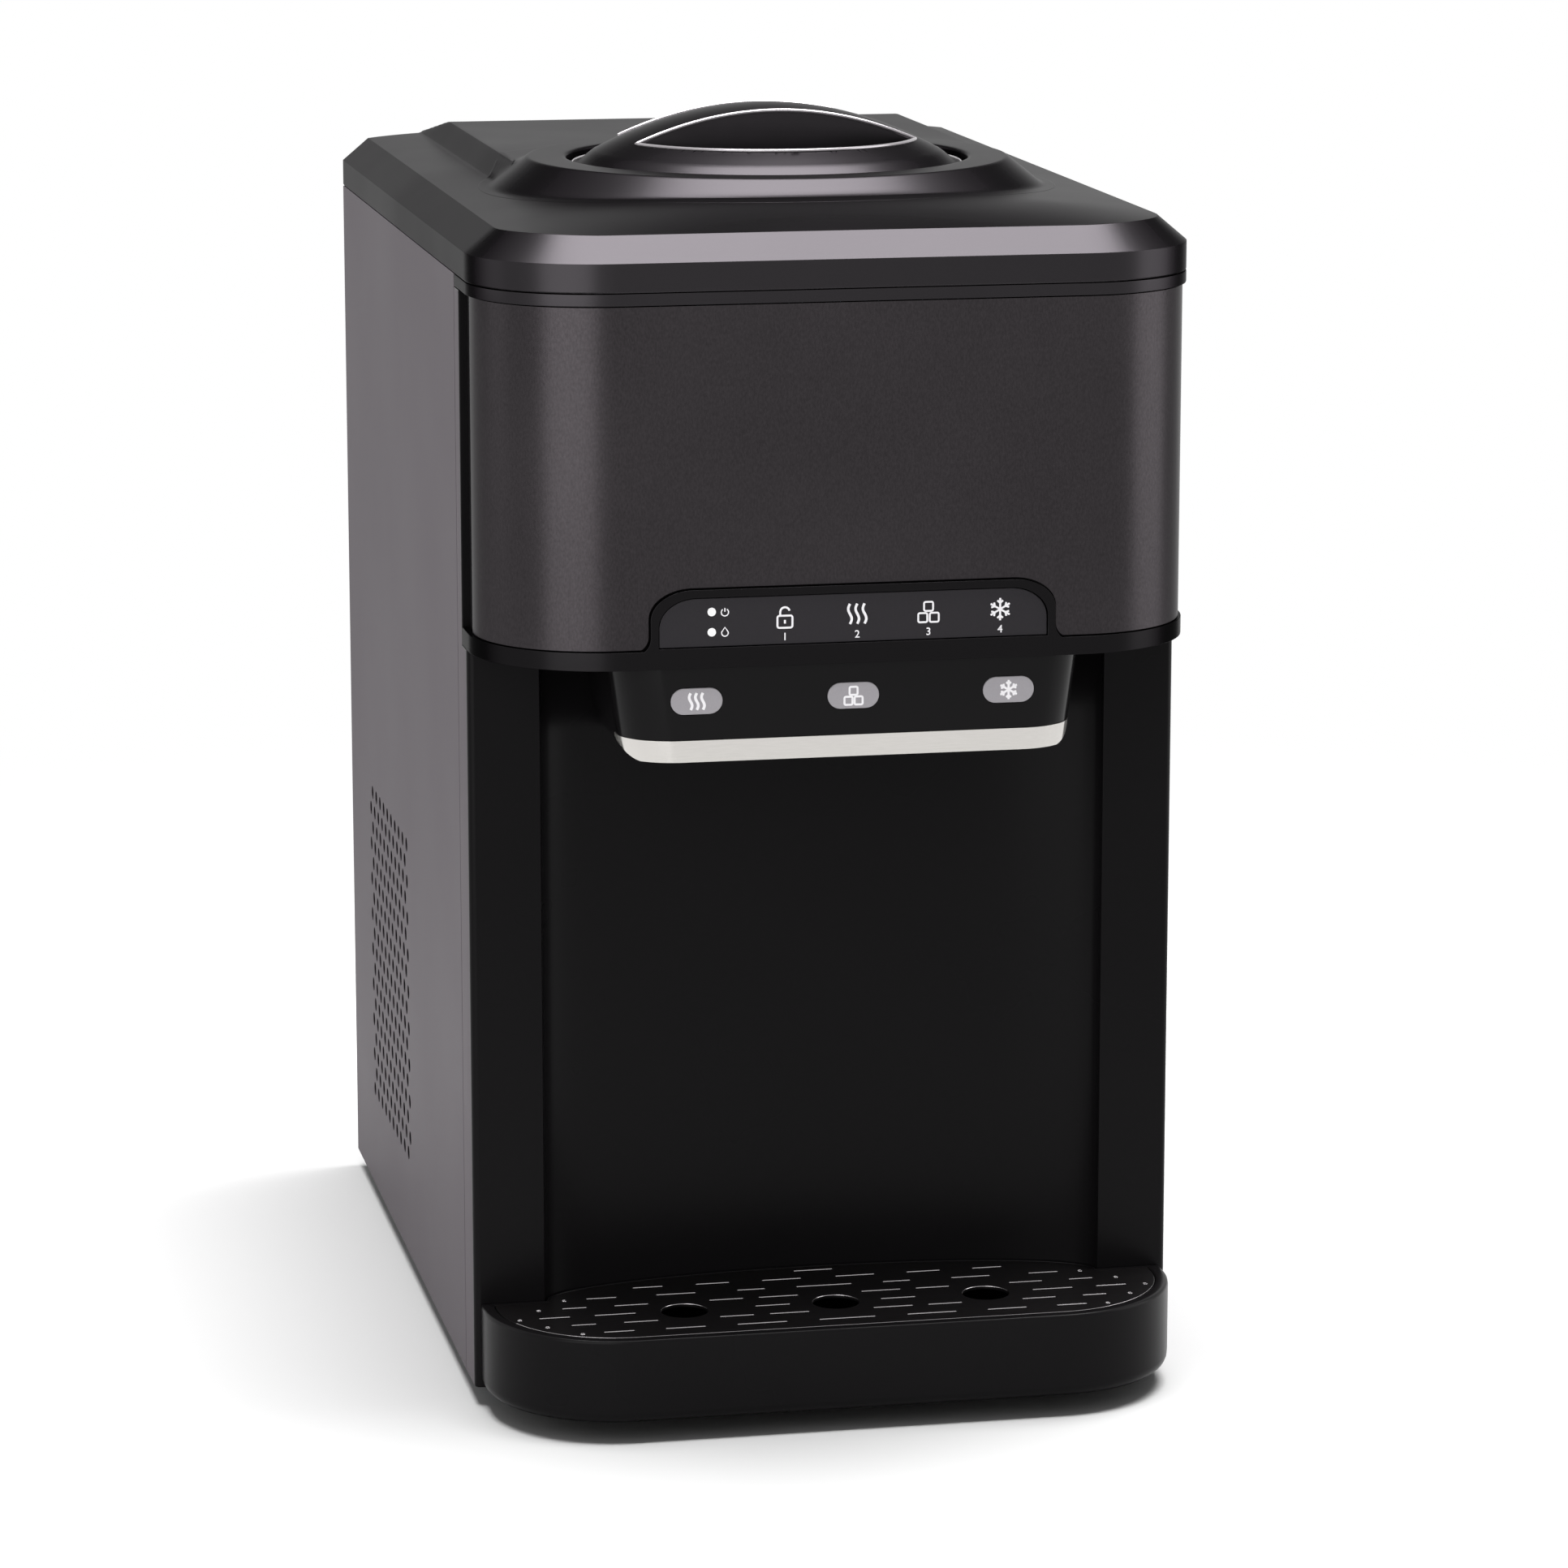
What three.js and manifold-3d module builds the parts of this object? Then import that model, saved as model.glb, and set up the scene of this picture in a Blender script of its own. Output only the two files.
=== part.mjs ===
// Countertop ice maker with hot water, ice and cold water outlets.
// Millimetres, +Z up, front towards -Y, origin on the floor at the middle of the body.
import * as THREE from 'three';
import { mergeVertices } from 'three/addons/utils/BufferGeometryUtils.js';
import Module from 'manifold-3d';

const wasm = await Module();
wasm.setup();

// Driving dimensions of the body
const GAP = 0.3;
const HALF_WIDTH = 150;
const REAR_Y = 226;
const FASCIA_Y = -162;
const PANEL_SEAM_Y = -136.3;
const BODY_Z = 8;
const BODY_TOP_Z = 476.4;
const SHEET = 1.2;
const WALL = 2.5;

// Upper front, rim and keys
const UPPER_FRONT_Y = -219.5;
const UPPER_CORNER = 52.5;
const UPPER_REAR_Y = -149;
const RIM_FRONT_Y = -221.3;
const RIM_CORNER = 56;
const RIM_Z = 324.3;
const RIM_TOP_Z = 331.8;
const SKIN_TOP_Z = 471.1;
const SKIN_HALF_WIDTH = 148.2;
const KEYS_BASE_Z = 333;
const ARCH = { baseHalf: 80.3, topHalf: 65, topZ: 352.8, band: 3.6, foot: 6 };

// Alcove, tray and grille
const RECESS_HALF = 120;
const RECESS_DEPTH = 29.5;
const TRAY_HALF = 149.5;
const TRAY_FRONT_Y = -226;
const TRAY_CORNER = 58;
const TRAY_Z = 8.8;
const TRAY_TOP_Z = 44.8;
const TRAY_RIM = 5.4;
const GRILLE_SHEET = 1.5;
const GRILLE_Z = TRAY_TOP_Z - 0.4 - GRILLE_SHEET;
const OUTLET_Y = -187;
const OUTLET_X = 64.8;

// Spout housing under the rim
const SPOUT = { bottomZ: 285.4, bottomHalf: 93.6, topHalf: 98.7, frontY: -219, corner: 23, edge: 10 };
const TRIM_TOP_Z = 294.3;
const TRIM_END_Y = -194;
const LABEL = { length: 21.4, height: 10.8, z: 310.5 };

// Cover, well and cap
const COVER_Z = 476.7;
const COVER_WALL_TOP_Z = 488.4;
const COVER_REAR_Y = 225.5;
const CHAMFER = 12;
const DECK_Z = 498.5;
const WELL_Y = -39.6;
const BOSS = { topZ: 513.1, topRadius: 103, footZ: 501, footRadius: 118, lipRadius: 86.1 };
const PLATEAU = { topZ: 509.7, footZ: 497, topHalf: 106.3, footHalf: 114.5, topRearY: 181, rearY: 224.5 };
const CAP_SKIRT_RADIUS = 84.6;
const CAP_DOME = 0.0036;
const CAP_TOP_Z = 535.4;
const POCKET = { radius: 64, chord: 21.5, floorZ: 514.5 };
const LEDGE_Z = 497;
const LEDGE_RADIUS = 80;

// Vents
const VENT = { rows: 18, columns: 10, sides: 4, radius: 3.6, columnPitch: 12.9, rowPitch: 8.5, firstY: 34.5, topZ: 200.4 };
const INTAKE = { rows: 12, half: 25, height: 4, pitch: 10, centreX: 42, lowZ: 66 };

// Inside
const DECK_PLATE_Z = 330;
const BIN = { half: 92, frontY: -206, rearY: 152, troughZ: 363, trough: 29.5, shoulderZ: 385, topZ: 394 };
const AUGER = { shaft: 5, core: 11, flight: 22, thick: 4, pitch: 42, frontY: -200, flightY: -166, rearY: 160 };
const CHUTE = { half: 23, frontY: -208, rearY: -166, topZ: 332.8 };
const GATE = { y: -171.5, z: 316, length: 28, rest: 30, half: 20.3, rod: 2.2 };
const TANK = { z: 400, halfX: 92, halfY: 86, topZ: 496.7, mouth: 86 };
const ICE = { pivotY: 126, pivotZ: 462, trayHalf: 54, trayFrontY: 66, trayBottomZ: 440, trayTopZ: 466 };
const FAN = { y: 97, z: 127, ring: 55, blade: 50, hub: 14 };
const HOT_TANK = { x: -78, y: -72, radius: 44, topZ: 150 };
const COLD_TANK = { x: 76, y: -68, radius: 56, topZ: 170 };
const COMPRESSOR = { x: 68, y: 62, radius: 50, topZ: 150 };
const SWITCH = { x: -100, y: 217, z: 60, half: 10 };
const GLAND = { x: 100, z: 50 };
const DRAIN = { x: 0, z: 42 };

// Curve resolution
const CORNER_STEPS = 6;
const RECESS_STEPS = 16;
const ROUND = 32;
const INNER_ROUND = 12;

const object = new THREE.Group();

// Materials
function finish(color, roughness, metalness) {
  return new THREE.MeshStandardMaterial({ color, roughness, metalness, flatShading: true });
}

const sidePaint = () => finish(0x6d686c, 0.45, 0.3);
const blackPlastic = () => finish(0x181718, 0.4, 0);
const coverPlastic = () => finish(0x38363a, 0.35, 0);
const darkSteel = () => finish(0x333133, 0.4, 0.8);
const satinSilver = () => finish(0xbdb9b6, 0.3, 0.6);
const labelGrey = () => finish(0xa3a0a4, 0.5, 0);
const galvanised = () => finish(0x9a9c9e, 0.5, 0.8);
const stainless = () => finish(0xb8b8b8, 0.3, 0.9);
const copper = () => finish(0xb5683c, 0.35, 0.9);
const aluminium = () => finish(0xc4c6c8, 0.4, 0.8);
const rubber = () => finish(0x141414, 0.85, 0);
const whitePlastic = () => finish(0xe4e4e0, 0.5, 0);
const silicone = () => finish(0xd8d8d4, 0.6, 0);
const boardGreen = () => finish(0x1f5a38, 0.6, 0);
const foam = () => finish(0xf0efe8, 0.9, 0);
const clearBlue = () => finish(0x8fb4cc, 0.2, 0);

// Closed solids and booleans
function signedVolume(position, index) {
  const [a, b, c] = [new THREE.Vector3(), new THREE.Vector3(), new THREE.Vector3()];
  let total = 0;
  for (let i = 0; i < index.length; i += 3) {
    a.fromArray(position, index[i] * 3);
    b.fromArray(position, index[i + 1] * 3);
    c.fromArray(position, index[i + 2] * 3);
    total += a.dot(b.cross(c)) / 6;
  }
  return total;
}

function solid(source) {
  const bare = source.clone();
  bare.deleteAttribute('normal');
  bare.deleteAttribute('uv');
  const merged = mergeVertices(bare, 1e-4);
  const position = merged.attributes.position.array;
  const faces = [];
  for (let i = 0; i < merged.index.count; i += 3) {
    const [a, b, c] = [0, 1, 2].map((k) => merged.index.getX(i + k));
    if (a !== b && b !== c && c !== a) faces.push(a, b, c);
  }
  if (signedVolume(position, faces) < 0) {
    for (let i = 0; i < faces.length; i += 3) [faces[i], faces[i + 1]] = [faces[i + 1], faces[i]];
  }
  const shape = new wasm.Mesh({
    numProp: 3,
    vertProperties: new Float32Array(position),
    triVerts: new Uint32Array(faces),
  });
  return new wasm.Manifold(shape);
}

function join(first, ...others) {
  return others.reduce((whole, part) => whole.add(part), first);
}

function cut(first, ...others) {
  return others.reduce((whole, part) => whole.subtract(part), first);
}

function add(name, shape, material) {
  const result = shape.getMesh();
  const surface = new THREE.BufferGeometry();
  surface.setAttribute('position', new THREE.BufferAttribute(result.vertProperties, 3));
  surface.setIndex(new THREE.BufferAttribute(result.triVerts, 1));
  surface.computeVertexNormals();
  const mesh = new THREE.Mesh(surface, material);
  mesh.name = name;
  object.add(mesh);
}

// Outlines in plan, counter-clockwise seen from above
function arc(centreX, centreY, radius, from, to, steps) {
  return Array.from({ length: steps + 1 }, (_, i) => {
    const angle = THREE.MathUtils.degToRad(from + ((to - from) * i) / steps);
    return new THREE.Vector2(centreX + radius * Math.cos(angle), centreY + radius * Math.sin(angle));
  });
}

function bowOutline(half, frontY, rearY, radius) {
  return [
    new THREE.Vector2(half, rearY),
    new THREE.Vector2(-half, rearY),
    ...arc(radius - half, frontY + radius, radius, 180, 270, CORNER_STEPS),
    ...arc(half - radius, frontY + radius, radius, 270, 360, CORNER_STEPS),
  ];
}

function rectangle(x0, x1, y0, y1) {
  return [[x1, y1], [x0, y1], [x0, y0], [x1, y0]].map(([x, y]) => new THREE.Vector2(x, y));
}

function regular(centreX, centreY, radius, sides) {
  return arc(centreX, centreY, radius, 0, 360 - 360 / sides, sides - 1);
}

function recessCurve(grow) {
  const halfX = RECESS_HALF + grow;
  const halfY = RECESS_DEPTH + grow;
  return Array.from({ length: RECESS_STEPS + 1 }, (_, i) => {
    const angle = (Math.PI * i) / RECESS_STEPS;
    return new THREE.Vector2(halfX * Math.cos(angle), FASCIA_Y + halfY * Math.sin(angle));
  });
}

// Solids from outlines
function prism(outline, z0, z1, holes = []) {
  const shape = new THREE.Shape(outline);
  shape.holes = holes.map((hole) => new THREE.Path(hole));
  const extruded = new THREE.ExtrudeGeometry(shape, { depth: z1 - z0, bevelEnabled: false });
  return solid(extruded.translate(0, 0, z0));
}

function box(x0, x1, y0, y1, z0, z1) {
  return prism(rectangle(x0, x1, y0, y1), z0, z1);
}

function alongX(outlineYZ, x0, x1, holes = []) {
  const shape = new THREE.Shape(outlineYZ);
  shape.holes = holes.map((hole) => new THREE.Path(hole));
  const extruded = new THREE.ExtrudeGeometry(shape, { depth: x1 - x0, bevelEnabled: false });
  const turn = new THREE.Matrix4().makeBasis(
    new THREE.Vector3(0, 1, 0),
    new THREE.Vector3(0, 0, 1),
    new THREE.Vector3(1, 0, 0),
  );
  return solid(extruded.applyMatrix4(turn).translate(x0, 0, 0));
}

function alongY(outlineXZ, y0, y1, holes = []) {
  const shape = new THREE.Shape(outlineXZ);
  shape.holes = holes.map((hole) => new THREE.Path(hole));
  const extruded = new THREE.ExtrudeGeometry(shape, { depth: y1 - y0, bevelEnabled: false });
  return solid(extruded.rotateX(Math.PI / 2).translate(0, y1, 0));
}

function loft(givenRings) {
  const flat = (ring) => ring.map((p) => new THREE.Vector2(p.x, p.y));
  const clockwise = THREE.ShapeUtils.isClockWise(flat(givenRings[0]));
  const rings = clockwise ? givenRings.map((ring) => [...ring].reverse()) : givenRings;
  const count = rings[0].length;
  const position = rings.flat().flatMap((p) => [p.x, p.y, p.z]);
  const index = [];
  for (let r = 0; r < rings.length - 1; r += 1) {
    for (let i = 0; i < count; i += 1) {
      const a = r * count + i;
      const b = r * count + ((i + 1) % count);
      index.push(a, b, b + count, a, b + count, a + count);
    }
  }
  for (const [a, b, c] of THREE.ShapeUtils.triangulateShape(flat(rings[0]), [])) index.push(a, c, b);
  const last = (rings.length - 1) * count;
  for (const [a, b, c] of THREE.ShapeUtils.triangulateShape(flat(rings.at(-1)), [])) {
    index.push(last + a, last + b, last + c);
  }
  const surface = new THREE.BufferGeometry();
  surface.setAttribute('position', new THREE.Float32BufferAttribute(position, 3));
  surface.setIndex(index);
  return solid(surface);
}

function level(outline, z) {
  return outline.map((p) => new THREE.Vector3(p.x, p.y, z));
}

function revolve(profile, x, y, sides = ROUND) {
  const points = profile.map(([radius, z]) => new THREE.Vector2(radius, z));
  const turned = new THREE.LatheGeometry(points, sides).rotateX(Math.PI / 2);
  return solid(turned.translate(x, y, 0));
}

function cylinder(x, y, radius, z0, z1, sides = ROUND) {
  return prism(regular(x, y, radius, sides), z0, z1);
}

function cylinderX(x0, x1, y, z, radius, sides = ROUND) {
  return alongX(regular(y, z, radius, sides), x0, x1);
}

function cylinderY(x, z, radius, y0, y1, sides = ROUND) {
  return alongY(regular(x, z, radius, sides), y0, y1);
}

function tube(points, radius, sides = 6, steps = 24) {
  const path = new THREE.CatmullRomCurve3(points.map(([x, y, z]) => new THREE.Vector3(x, y, z)));
  const section = new THREE.Shape(regular(0, 0, radius, sides));
  return solid(new THREE.ExtrudeGeometry(section, { steps, extrudePath: path }));
}

// Base and feet
function makeBase() {
  const half = HALF_WIDTH - SHEET - GAP;
  const frontY = FASCIA_Y + WALL + GAP;
  const rearY = 221;
  const innerHalf = HALF_WIDTH - WALL - GAP;
  const frontCurve = recessCurve(WALL + GAP).filter((p) => p.y > frontY).reverse();
  const outline = [
    ...[[half, rearY], [-half, rearY], [-half, PANEL_SEAM_Y], [-innerHalf, PANEL_SEAM_Y]],
    [-innerHalf, frontY],
  ].map(([x, y]) => new THREE.Vector2(x, y));
  const mirrored = outline.slice(3).reverse().map((p) => new THREE.Vector2(-p.x, p.y));
  const corner = new THREE.Vector2(half, PANEL_SEAM_Y);
  const plate = prism([...outline, ...frontCurve, ...mirrored, corner], BODY_Z, BODY_Z + SHEET);
  const top = BODY_Z + 14;
  const flanges = [
    box(-half, SHEET - half, PANEL_SEAM_Y, rearY, BODY_Z, top),
    box(half - SHEET, half, PANEL_SEAM_Y, rearY, BODY_Z, top),
    box(-half, half, rearY - SHEET, rearY, BODY_Z, top),
  ];
  add('base_pan', join(plate, ...flanges), galvanised());
  const profile = [[0, 0], [9, 0], [12, BODY_Z - 2], [12, BODY_Z - GAP], [0, BODY_Z - GAP]];
  for (const [side, x] of [['left', -125], ['right', 125]]) {
    for (const [end, y] of [['front', -108], ['rear', 200]]) {
      add(`foot_${end}_${side}`, revolve(profile, x, y, INNER_ROUND), rubber());
    }
  }
}

// Painted side panels with returned rear edges, and the rear panel
function ventHoles() {
  const holes = [];
  for (let row = 0; row < VENT.rows; row += 1) {
    const shift = row % 2 ? VENT.columnPitch / 2 : 0;
    for (let column = 0; column < VENT.columns; column += 1) {
      const y = VENT.firstY + shift + column * VENT.columnPitch;
      holes.push(regular(y, VENT.topZ - row * VENT.rowPitch, VENT.radius, VENT.sides));
    }
  }
  return holes;
}

function makePanels() {
  const flangeDepth = 12;
  const flangeY = 221.3;
  for (const [name, side, holes] of [['left', -1, ventHoles()], ['right', 1, []]]) {
    const outline = [[PANEL_SEAM_Y + GAP, BODY_Z], [REAR_Y, BODY_Z], [REAR_Y, BODY_TOP_Z]];
    outline.push([PANEL_SEAM_Y + GAP, BODY_TOP_Z]);
    const x0 = side < 0 ? -HALF_WIDTH : HALF_WIDTH - SHEET;
    const sheet = alongX(outline.map(([y, z]) => new THREE.Vector2(y, z)), x0, x0 + SHEET, holes);
    const inner = HALF_WIDTH - flangeDepth;
    const flange = side < 0
      ? box(-HALF_WIDTH, -inner, flangeY, flangeY + SHEET, BODY_Z, BODY_TOP_Z)
      : box(inner, HALF_WIDTH, flangeY, flangeY + SHEET, BODY_Z, BODY_TOP_Z);
    add(`side_panel_${name}`, join(sheet, flange), sidePaint());
  }
  const half = HALF_WIDTH - SHEET - GAP;
  const rearY = 224;
  const plate = alongY(rectangle(-half, half, BODY_Z, BODY_TOP_Z), rearY - SHEET, rearY);
  const punch = (outline) => alongY(outline, rearY - SHEET - 1, rearY + 1);
  const slots = [];
  for (const x of [-INTAKE.centreX, INTAKE.centreX]) {
    for (let row = 0; row < INTAKE.rows; row += 1) {
      const z = INTAKE.lowZ + row * INTAKE.pitch;
      slots.push(punch(rectangle(x - INTAKE.half, x + INTAKE.half, z, z + INTAKE.height)));
    }
  }
  slots.push(punch(regular(DRAIN.x, DRAIN.z, 14.5, 16)));
  slots.push(punch(regular(GLAND.x, GLAND.z, 7.4, 12)));
  slots.push(punch(rectangle(SWITCH.x - 9.3, SWITCH.x + 9.3, SWITCH.z - 14.3, SWITCH.z + 14.3)));
  add('rear_panel', cut(plate, ...slots), sidePaint());
}

// Lower front moulding with the curved recess, corner posts and the shelf under the tray
function makeFrontFrame() {
  const corner = 3;
  const front = FASCIA_Y;
  const outer = [
    new THREE.Vector2(-HALF_WIDTH, PANEL_SEAM_Y),
    ...arc(corner - HALF_WIDTH, front + corner, corner, 180, 270, 3),
    ...recessCurve(0).reverse(),
    ...arc(HALF_WIDTH - corner, front + corner, corner, 270, 360, 3),
    new THREE.Vector2(HALF_WIDTH, PANEL_SEAM_Y),
  ];
  const backCurve = recessCurve(WALL).filter((p) => p.y > front + WALL);
  const inner = [
    new THREE.Vector2(HALF_WIDTH - WALL, PANEL_SEAM_Y),
    new THREE.Vector2(HALF_WIDTH - WALL, front + WALL),
    ...backCurve,
    new THREE.Vector2(WALL - HALF_WIDTH, front + WALL),
    new THREE.Vector2(WALL - HALF_WIDTH, PANEL_SEAM_Y),
  ];
  const fascia = prism([...outer, ...inner], BODY_Z, RIM_Z - GAP);
  const hoseWindow = box(-75, 75, FASCIA_Y, FASCIA_Y + 40, 296, 318);
  const shelfOutline = bowOutline(132, -212, FASCIA_Y + 1, 46);
  const shelf = prism(shelfOutline, BODY_Z - 1.2, TRAY_Z - 0.4);
  const recessFloor = prism([...recessCurve(1), new THREE.Vector2(0, FASCIA_Y - 4)], BODY_Z - 1.2, TRAY_Z - 0.4);
  const posts = [-1, 1].map((side) => {
    const [x0, x1] = side < 0 ? [-HALF_WIDTH, 6 - HALF_WIDTH] : [HALF_WIDTH - 6, HALF_WIDTH];
    return box(x0, x1, UPPER_REAR_Y + GAP, PANEL_SEAM_Y, RIM_Z - 10, SKIN_TOP_Z);
  });
  add('front_frame', join(cut(fascia, hoseWindow), shelf, recessFloor, ...posts), blackPlastic());
}

// Rim under the upper front, with the arch that frames the keys
function archOutline(grow, baseZ) {
  const bend = 12;
  const half = ARCH.baseHalf + grow;
  const topHalf = ARCH.topHalf + grow * 0.4;
  const topZ = ARCH.topZ + grow;
  const side = Array.from({ length: 6 }, (_, i) => {
    const t = i / 5;
    const x = half - (half - topHalf) * (1 - Math.cos(t * Math.PI / 2));
    return new THREE.Vector2(x, topZ - bend + bend * Math.sin(t * Math.PI / 2));
  });
  const left = side.map((p) => new THREE.Vector2(-p.x, p.y)).reverse();
  return [new THREE.Vector2(-half, baseZ), new THREE.Vector2(half, baseZ), ...side, ...left];
}

function makeUpperFront() {
  const outer = bowOutline(HALF_WIDTH, RIM_FRONT_Y, UPPER_REAR_Y, RIM_CORNER);
  const chuteHole = prism(rectangle(-23.6, 23.6, CHUTE.frontY - 0.6, CHUTE.rearY + 0.6), RIM_Z - 1, RIM_Z + 4);
  const lip = bowOutline(HALF_WIDTH - 2.4, RIM_FRONT_Y + 2.4, UPPER_REAR_Y + 1, RIM_CORNER - 2.4);
  const pan = cut(prism(outer, RIM_Z, RIM_TOP_Z), prism(lip, RIM_Z + 3, RIM_TOP_Z + 1), chuteHole);
  const archPlate = alongY(archOutline(ARCH.band, RIM_Z + 3), RIM_FRONT_Y, RIM_FRONT_Y + 2.4);
  const keysHole = alongY(archOutline(GAP, KEYS_BASE_Z - GAP), RIM_FRONT_Y - 1, RIM_FRONT_Y + 3);
  add('panel_rim', join(pan, cut(archPlate, keysHole)), blackPlastic());

  const keys = alongY(archOutline(0, KEYS_BASE_Z), RIM_FRONT_Y + 0.7, RIM_FRONT_Y + 2.7);
  add('key_panel', keys, blackPlastic());

  const housingOuter = bowOutline(146.7, -218, UPPER_REAR_Y, 51);
  const housingInner = bowOutline(146.7 - WALL, -218 + WALL, UPPER_REAR_Y + 1, 51 - WALL);
  const housing = cut(
    prism(housingOuter, RIM_Z + 3 + GAP, SKIN_TOP_Z - GAP),
    prism(housingInner, RIM_Z + 3, SKIN_TOP_Z),
  );
  add('upper_housing', housing, blackPlastic());

  const flankY = -166;
  const skinOuter = bowOutline(SKIN_HALF_WIDTH, UPPER_FRONT_Y, flankY, UPPER_CORNER - 1);
  const skinInner = bowOutline(SKIN_HALF_WIDTH - SHEET, UPPER_FRONT_Y + SHEET, flankY + 1, UPPER_CORNER - 1 - SHEET);
  const skin = cut(
    prism(skinOuter, RIM_TOP_Z + GAP, SKIN_TOP_Z),
    prism(skinInner, RIM_Z, BODY_TOP_Z),
    alongY(archOutline(ARCH.band + GAP, RIM_Z), RIM_FRONT_Y, -205),
  );
  add('upper_front_panel', skin, darkSteel());

  const board = box(-72, 72, -215.2, -213.6, 334, 350);
  const chips = [-50, -20, 10, 40].map((x) => box(x, x + 8, -214, -211.5, 338, 346));
  add('touch_board', join(board, ...chips), boardGreen());

  const bandOuter = bowOutline(HALF_WIDTH, UPPER_FRONT_Y, PANEL_SEAM_Y, UPPER_CORNER);
  const bandInner = bowOutline(HALF_WIDTH - 5, UPPER_FRONT_Y + 5, PANEL_SEAM_Y + 1, UPPER_CORNER - 5);
  const band = cut(
    prism(bandOuter, SKIN_TOP_Z + GAP, BODY_TOP_Z),
    prism(bandInner, SKIN_TOP_Z, BODY_TOP_Z + 1),
  );
  add('cover_band', band, blackPlastic());
}

// Spout housing: a drafted open-topped shell with softened lower edges, its bright trim and labels
function spoutPlan(grow, z0, z1) {
  const ring = (z) => {
    const t = (z - SPOUT.bottomZ) / (RIM_Z - SPOUT.bottomZ);
    const half = SPOUT.bottomHalf + (SPOUT.topHalf - SPOUT.bottomHalf) * t + grow;
    return level(bowOutline(half, SPOUT.frontY - grow, FASCIA_Y + 34, SPOUT.corner + grow), z);
  };
  return loft([ring(z0), ring(z1)]);
}

function spoutElevation(grow, z0) {
  const half = SPOUT.bottomHalf + 0.6 + grow;
  const radius = SPOUT.edge;
  const bottom = SPOUT.bottomZ - grow;
  const outline = [
    ...arc(radius - half, bottom + radius, radius, 180, 270, 5),
    ...arc(half - radius, bottom + radius, radius, 270, 360, 5),
    new THREE.Vector2(SPOUT.topHalf + 4 + grow, RIM_Z + 1),
    new THREE.Vector2(-SPOUT.topHalf - 4 - grow, RIM_Z + 1),
  ].filter((p) => p.y >= z0);
  return alongY(outline, RIM_FRONT_Y - 5, FASCIA_Y + 40);
}

function behindRecess(grow) {
  const curve = recessCurve(-grow);
  const far = FASCIA_Y + 60;
  return [
    new THREE.Vector2(160, FASCIA_Y - grow),
    new THREE.Vector2(160, far),
    new THREE.Vector2(-160, far),
    new THREE.Vector2(-160, FASCIA_Y - grow),
    ...curve.reverse(),
  ];
}

function stadium(x, z, length, height) {
  const radius = height / 2;
  const reach = length / 2 - radius;
  return [
    ...arc(x + reach, z, radius, -90, 90, 8),
    ...arc(x - reach, z, radius, 90, 270, 8),
  ];
}

function makeSpout() {
  const top = RIM_Z - GAP;
  const outer = spoutPlan(0, SPOUT.bottomZ, top).intersect(spoutElevation(0, 0));
  const hollow = spoutPlan(-WALL, SPOUT.bottomZ + WALL, top + 1).intersect(spoutElevation(-WALL, 0));
  const wallSide = prism(behindRecess(GAP), SPOUT.bottomZ - 5, top + 5);
  const outlets = [
    cylinder(-OUTLET_X, OUTLET_Y, 7.3, SPOUT.bottomZ - 1, SPOUT.bottomZ + 6, 16),
    cylinder(OUTLET_X, OUTLET_Y, 7.3, SPOUT.bottomZ - 1, SPOUT.bottomZ + 6, 16),
    box(-23.4, 23.4, CHUTE.frontY - 0.4, CHUTE.rearY + 0.4, SPOUT.bottomZ - 1, SPOUT.bottomZ + 6),
  ];
  const rebateDepth = 1.2;
  const seat = cut(
    spoutPlan(2, SPOUT.bottomZ - 2, TRIM_TOP_Z + GAP),
    spoutPlan(-rebateDepth - GAP, SPOUT.bottomZ - 3, TRIM_TOP_Z + 2),
    box(-120, 120, TRIM_END_Y + GAP, -100, SPOUT.bottomZ - 4, TRIM_TOP_Z + 4),
  );
  const pockets = [-OUTLET_X, 0, OUTLET_X].map((x) =>
    alongY(stadium(x, LABEL.z, LABEL.length + 0.6, LABEL.height + 0.6), SPOUT.frontY - 1, SPOUT.frontY + 1));
  add('spout_housing', cut(outer, hollow, wallSide, ...outlets, seat, ...pockets), blackPlastic());

  const proud = 0.3;
  const band = cut(
    spoutPlan(proud, SPOUT.bottomZ, TRIM_TOP_Z),
    spoutPlan(-rebateDepth, SPOUT.bottomZ - 1, TRIM_TOP_Z + 1),
    box(-120, 120, TRIM_END_Y, -100, SPOUT.bottomZ - 4, TRIM_TOP_Z + 4),
  );
  add('spout_trim', band.intersect(spoutElevation(proud, 0)), satinSilver());

  for (const [name, x] of [['hot', -OUTLET_X], ['ice', 0], ['cold', OUTLET_X]]) {
    const plate = alongY(stadium(x, LABEL.z, LABEL.length, LABEL.height), SPOUT.frontY - 0.4, SPOUT.frontY + 0.7);
    add(`label_${name}`, plate, labelGrey());
  }
}

// Drip tray with inner ribs that carry the grille
function trayOutline(inset, rearGap, recessGap) {
  const rearY = FASCIA_Y - rearGap;
  const outline = bowOutline(TRAY_HALF - inset, TRAY_FRONT_Y + inset, rearY, TRAY_CORNER - inset);
  const curve = recessCurve(-recessGap);
  const step = [curve[0], curve.at(-1)].map((p) => new THREE.Vector2(p.x, rearY));
  return [outline[0], step[0], ...curve, step[1], ...outline.slice(1)];
}

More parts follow.
